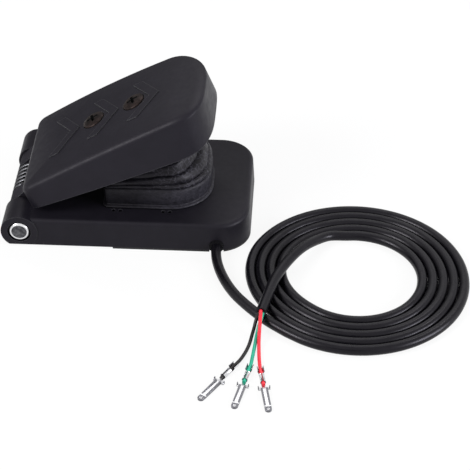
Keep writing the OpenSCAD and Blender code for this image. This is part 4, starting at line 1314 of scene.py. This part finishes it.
@dataclass
class DustBoot:
    """The rubber bellows: a rim bead, a plain band, and pleats that fan up under the pedal.

    The profile gives the height and the inset of each level of the band. Angles of the
    fan are in degrees above the band's top.
    """

    x0: float = -10.05
    x1: float = 36.86
    half: float = 22.0
    heel_r: float = 2.4
    least_r: float = 0.5
    toe_r: float = 18.0
    foot_z: float = 14.0
    band_z: float = 24.0
    fan_x: float = -39.82
    tilt: float = PEDAL_TILT
    lean: float = 13.0
    pleats: int = 6
    gather: float = 1.4
    pleat: float = 2.0
    tuck: float = 2.6
    tuck_from: float = 4.0
    toe_draw: float = 4.8
    draw_over: float = 7.5
    ease_from: float = 21.0
    ease: float = 7.0
    wall: float = 1.6
    inner_drop: float = 2.0
    corner_steps: int = 18
    side_steps: int = 22
    fold_steps: int = 12
    fold_power: float = 0.22
    wander: float = 0.7
    wander_waves: Point = (0.11, 0.11, 0.6)
    sharp: float = 75.0
    crumple_depth: float = 0.7
    crumple_size: float = 210.0
    crumple_seed: float = 4.0
    profile: tuple[Pair, ...] = (
        (14.0, -0.45), (14.12, -0.7), (14.4, -0.8), (14.7, -0.75), (14.95, -0.45), (15.1, 0.2),
        (15.35, 0.7), (15.75, 0.65), (16.0, 0.2), (16.3, 0.06), (18.4, 0.04), (20.4, 0.0),
        (22.0, 0.04), (23.1, 0.2), (23.7, 0.7),
    )

    def outline(self, inset: float, lean: float) -> list[Pair]:
        """Outline of the bellows at one level.

        Args:
            inset: how far it lies inside the widest outline.
            lean: how far its heel side is moved back.

        Returns:
            Points round the outline, always as many.
        """
        rh, rt = max(self.heel_r - inset, self.least_r), self.toe_r - inset
        heel, toe = self.x0 - lean + inset + rh, self.x1 - inset - rt
        h = self.half - inset
        hubs = ((heel, rh - h, rh, 180), (toe, rt - h, rt, 270), (toe, h - rt, rt, 0), (heel, h - rh, rh, 90))
        corners = []
        for x, y, r, start in hubs:
            turn = [math.radians(start + 90 * k / self.corner_steps) for k in range(self.corner_steps + 1)]
            corners.append([(x + r * math.cos(a), y + r * math.sin(a)) for a in turn])
        loop = []
        for corner, following in zip(corners, corners[1:] + corners[:1]):
            (ax, ay), (bx, by) = corner[-1], following[0]
            loop += corner
            for k in range(1, self.side_steps):
                t = k / self.side_steps
                loop.append((ax + (bx - ax) * t, ay + (by - ay) * t))
        return loop

    def band(self, z: float, inset: float) -> Line:
        """One level of the plain band."""
        return [mm(x, y, z) for x, y in self.outline(inset, 0.0)]

    def fan(self, deg: float, inset: float, wander: float = 0.0) -> Line:
        """One level of the fan.

        Args:
            deg: its angle.
            inset: how far it lies inside the widest outline.
            wander: how far the fold drifts up and down, in degrees.

        Returns:
            The points of the level.
        """
        ring = []
        draw = self.toe_draw * smoothstep(deg / self.draw_over) * self.eased(deg)
        across, beside, up = self.wander_waves
        for x, y in self.outline(inset, self.lean * deg / self.tilt):
            x -= draw * smoothstep((x - self.x1 + self.toe_r) / self.toe_r)
            drift = wander * noise.noise(Vector((x * across, y * beside, deg * up)))
            a = math.radians(deg + drift)
            run = x - self.fan_x
            ring.append(mm(self.fan_x + run * math.cos(a), y, self.band_z + run * math.sin(a)))
        return ring

    def eased(self, deg: float) -> float:
        """1 on the lower folds, falling to 0 under the pedal."""
        return 1 - smoothstep((deg - self.ease_from) / self.ease)

    def tucked(self, deg: float) -> float:
        """How far the folds between band and pedal draw in."""
        return self.tuck * smoothstep((deg - self.tuck_from) / self.ease) * self.eased(deg)

    def rings(self) -> list[Line]:
        """Lays the levels of the skin. The lower folds lie closer together.

        Returns:
            The levels, up the outside and then down the inside.
        """
        outer = [self.band(z, inset) for z, inset in self.profile]
        outer.append(self.fan(0.0, self.pleat))
        lines = [self.tilt * (p / self.pleats) ** self.gather for p in range(self.pleats + 1)]
        for low, high in zip(lines, lines[1:]):
            for k in range(1, self.fold_steps + 1):
                t = k / self.fold_steps
                deg = low + (high - low) * t
                fold = 1 - math.sin(math.pi * t) ** self.fold_power
                end = high == self.tilt and k == self.fold_steps
                outer.append(self.fan(deg, self.pleat * fold + self.tucked(deg), 0.0 if end else self.wander))
        deep = self.pleat + self.wall
        inner = [self.fan(deg, deep + self.tucked(deg)) for deg in reversed(lines)]
        return [*outer, *inner, self.band(self.band_z - self.inner_drop, deep), self.band(self.foot_z, deep)]

    def turn_share(self, place: Vector) -> float:
        """How much of the pedal's turn a point takes: none on the band, all at the top."""
        rise, run = place.z - self.band_z * MM, place.x - self.fan_x * MM
        return held(math.degrees(math.atan2(rise, run)) / self.tilt)

    def build(self) -> Piece:
        """Makes the bellows and lets it fold with the pedal.

        Returns:
            The bellows.
        """
        form = bmesh.new()
        add_loft(form, self.rings(), closed=True)
        piece = put("rubber_bellows", mesh_from("rubber_bellows", form, self.sharp))
        crumple(piece, self.crumple_depth * MM, self.crumple_size, self.crumple_seed, BOOT_RUBBER)
        top = max(self.fan(self.tilt, 0.0), key=lambda p: p.z)
        stretch(piece, "dust_boot", mm(self.x1, 0.0, self.band_z), top)
        shares = np.array([self.turn_share(v.co) for v in piece.data.vertices], np.float32)
        piece.data.attributes["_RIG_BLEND"].data.foreach_set("value", shares)
        return piece


@dataclass
class ReturnSpring:
    """The torsion spring round the hinge pin, with a leg on the base and a leg under the pedal.

    Its legs are given as X and Z from the hinge, the tip's along the pedal's slope.
    """

    wire: float = 2.0
    wire_sides: int = 16
    coil_r: float = 6.2
    half: float = 8.0
    turns: int = 5
    per_turn: int = 40
    base_leg: tuple[Pair, ...] = ((22.0, -4.15), (17.0, -4.15), (12.0, -4.15), (6.0, -5.58))
    tip: Pair = (20.0, 2.6)
    tip_steps: int = 4
    tilt: float = PEDAL_TILT

    def line(self) -> Line:
        """Lays the wire: the base's leg, the coils, and a leg that leaves them straight.

        Returns:
            The middle line of the wire.
        """
        along, up = self.tip
        lift = math.degrees(math.atan2(up, along) + math.acos(self.coil_r / math.hypot(along, up)))
        part = (self.tilt + lift - 360 - DOWN_DEG) / 360
        sweep = 360 * (self.turns - part)
        steps = self.turns * self.per_turn
        points = [mm(x, -self.half, z) for x, z in self.base_leg]
        for i in range(steps + 1):
            a = math.radians(DOWN_DEG - sweep * i / steps)
            y = -self.half + 2 * self.half * i / steps
            points.append(mm(self.coil_r * math.cos(a), y, self.coil_r * math.sin(a)))
        c, s = math.cos(math.radians(self.tilt)), math.sin(math.radians(self.tilt))
        tip = mm(along * c - up * s, self.half, along * s + up * c)
        last = points[-1]
        points += [last.lerp(tip, (k + 1) / self.tip_steps) for k in range(self.tip_steps)]
        return [HINGE + p for p in points]

    def build(self) -> Piece:
        """Winds the spring, which twists as the pedal turns.

        Returns:
            The spring.
        """
        radius = self.wire / 2 * MM
        piece = sweep_wire("torsion_spring", self.line(), radius, self.wire_sides, SPRING_STEEL)
        side = mm(0.0, self.half, 0.0)
        return stretch(piece, "return_spring", HINGE - side, HINGE + side)


@dataclass
class PedalScrews:
    """The two oval-head screws with cross recesses that hold the magnet arm.

    The recess is given at its foot and its mouth as shares of its length and width.
    """

    tilt: float = PEDAL_TILT
    first_u: float = 45.7
    seat_n: float = 17.0
    pitch: float = 20.7
    count: int = 2
    spin: float = 17.0
    sides: int = 64
    head_r: float = 5.2
    head_h: float = 1.9
    edge_h: float = 0.7
    rim_in: float = 0.2
    rim_h: float = 0.15
    dome_power: float = 0.625
    dome_steps: int = 12
    least_r: float = 0.02
    shank_r: float = 2.5
    shank_l: float = 13.8
    point: float = 0.5
    thread: float = 0.8
    thread_d: float = 0.35
    thread_end: float = -2.0
    neck: float = -1.5
    recess_l: float = 3.0
    recess_w: float = 1.5
    recess_d: float = 1.6
    recess_over: float = 0.3
    recess_foot: Pair = (0.5, 0.62)
    recess_mouth: Pair = (1.08, 1.0)
    mark_reach: float = 1.2
    mark_floor: float = 0.01
    mark_slope: float = 0.6
    mark_below: float = 0.15

    def dome(self, r: float) -> float:
        """Height of the head at a radius."""
        crown = max(1 - (r / self.head_r) ** 2, 0.0) ** self.dome_power
        return self.edge_h + (self.head_h - self.edge_h) * crown

    def profile(self) -> list[Pair]:
        """Draws the half section of a screw.

        Returns:
            Radius and height, from the end of the shank to the top of the head.
        """
        section = [(self.shank_r - self.point, -self.shank_l)]
        z = -self.shank_l + self.point
        while z < self.thread_end:
            section += [(self.shank_r, z), (self.shank_r - self.thread_d, z + self.thread / 2)]
            z += self.thread
        section += [(self.shank_r, self.neck), (self.shank_r, 0.0)]
        section += [(self.head_r - self.rim_in, 0.0), (self.head_r, self.rim_h)]
        for k in range(self.dome_steps + 1):
            r = self.head_r * math.cos(k / self.dome_steps * math.pi / 2)
            section.append((max(r, self.least_r), self.dome(r)))
        return section

    def cross(self) -> Form:
        """Shapes the tapered cross that is cut out of a head.

        Returns:
            The cross.
        """
        rings = []
        foot, mouth = self.head_h - self.recess_d, self.head_h + self.recess_over
        for z, (reach, width) in ((foot, self.recess_foot), (mouth, self.recess_mouth)):
            arm, w = self.recess_l * reach, self.recess_w * width / 2
            ring = []
            for quarter in range(4):
                turn = Matrix.Rotation(math.pi / 2 * quarter, 2)
                ring += [Vector((*(turn @ Vector(c)), z)) for c in ((arm, -w), (arm, w), (w, w))]
            rings.append(ring)
        form = bmesh.new()
        add_loft(form, rings)
        return form

    def mark_recess_shade(self, mesh: bpy.types.Mesh) -> None:
        """Marks the faces inside the cross, which the finish paints black as painted shade in the recess.

        Args:
            mesh: one screw, still upright at the origin.
        """
        mark = mesh.attributes.new(SCREW_BRONZE.mark, "FLOAT", "FACE")
        floor = self.head_h - self.recess_d - self.mark_floor
        for face in mesh.polygons:
            x, y, z = face.center
            r = math.hypot(x, y)
            inside = r < self.mark_reach * self.recess_l and z > floor
            below = face.normal.z < self.mark_slope or z < self.dome(r) - self.mark_below
            mark.data[face.index].value = float(inside and below)

    def build(self) -> Piece:
        """Turns one screw, cuts its recess and sets the pair in the pedal.

        Returns:
            The screws.
        """
        form = bmesh.new()
        turn = [2 * math.pi * k / self.sides for k in range(self.sides)]
        section = self.profile()
        add_loft(form, [[Vector((r * math.cos(a), r * math.sin(a), z)) for a in turn] for r, z in section])
        screw = put("cross_head_screws", mesh_from("cross_head_screws", form))
        cutter = put("recess_cutter", mesh_from("recess_cutter", self.cross()))
        cut = screw.modifiers.new("recess", "BOOLEAN")
        cut.object = cutter
        cut.solver = "EXACT"
        applied(screw)
        bpy.data.objects.remove(cutter)
        self.mark_recess_shade(screw.data)
        t = math.radians(self.tilt)
        along, up = Vector((math.cos(t), 0.0, math.sin(t))), Vector((-math.sin(t), 0.0, math.cos(t)))
        seat = HINGE + (along * self.first_u + up * self.seat_n) * MM
        spin = Matrix.Rotation(math.radians(self.spin), 4, "Z")
        place = Matrix.Translation(seat) @ Matrix.Rotation(-t, 4, "Y") @ spin @ Matrix.Scale(MM, 4)
        screw.data.transform(place)
        repeat_in_line(screw, self.count, along * self.pitch * MM, SCREW_BRONZE)
        return hand_over(screw, Body.PEDAL, SCREW_BRONZE, "pedal_screws")


@dataclass
class Moulding:
    """A moulded shell: its node's own shape, with merged facets and soft shading."""

    node: str
    name: str
    body: Body
    finish: Finish
    sharp: float = 28.0
    merge: float = 0.002

    def build(self) -> Piece:
        """Copies the node's shape into a clean mesh that stands for it.

        Returns:
            The shell.
        """
        source = frame["nodes"][self.node].data
        raw = bpy.data.meshes.new(self.name)
        raw.from_pydata([v.co[:] for v in source.vertices], [], [p.vertices[:] for p in source.polygons])
        form = bmesh.new()
        form.from_mesh(raw)
        bpy.data.meshes.remove(raw)
        bmesh.ops.remove_doubles(form, verts=form.verts, dist=self.merge * MM)
        bmesh.ops.dissolve_degenerate(form, dist=self.merge * MM, edges=form.edges)
        piece = put(self.name, mesh_from(self.name, form, self.sharp))
        piece.data.materials.append(self.finish.material())
        piece.modifiers.new("even_shading", "WEIGHTED_NORMAL").keep_sharp = True
        return hand_over(piece, self.body, self.finish, self.node)


CARRIED_OVER: dict[str, Finish] = {
    "bottom_cover": COVER_PLASTIC,
    "bottom_cover_screws": SMALL_SCREW_STEEL,
    "hinge_pin": PIN_STEEL,
    "boot_base_frame": FRAME_PLASTIC,
    "sensor_holder": FRAME_PLASTIC,
    "sensor_holder_screws": SMALL_SCREW_STEEL,
    "hall_sensor": SENSOR_BODY,
    "sensor_board": BOARD_GREEN,
    "board_screws": SMALL_SCREW_STEEL,
    "inner_wires": CORE_INSULATION,
    "cable_tie": TIE_NYLON,
    "cable_grommet": GROMMET_RUBBER,
    "press_stop": STOP_RUBBER,
    "pedal_screw_nuts": SMALL_SCREW_STEEL,
    "magnet_arm": FRAME_PLASTIC,
    "magnets": MAGNET_NICKEL,
    "hinge_bushes": BUSH_PLASTIC,
    "boot_pedal_frame": FRAME_PLASTIC,
}


def dress_nodes() -> None:
    """Gives each node that shows as it is its finish."""
    for node, finish in CARRIED_OVER.items():
        for slot in frame["nodes"][node].material_slots:
            slot.material = finish.material()
        LOG.info("%s keeps its shape, in %s", node, finish.name)


def main() -> None:
    """Builds the studio and every piece, in order."""
    logging.basicConfig(level=logging.INFO, format="%(message)s")
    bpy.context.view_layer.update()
    Studio().build()
    Cable().build()
    for core in cores():
        core.build()
    DustBoot().build()
    ReturnSpring().build()
    PedalScrews().build()
    Moulding("base_housing", "base_shell", Body.BASE, HOUSING_PLASTIC).build()
    Moulding("pedal_plate", "pedal_shell", Body.PEDAL, PEDAL_PLASTIC).build()
    dress_nodes()


if __name__ == "__main__":
    main()
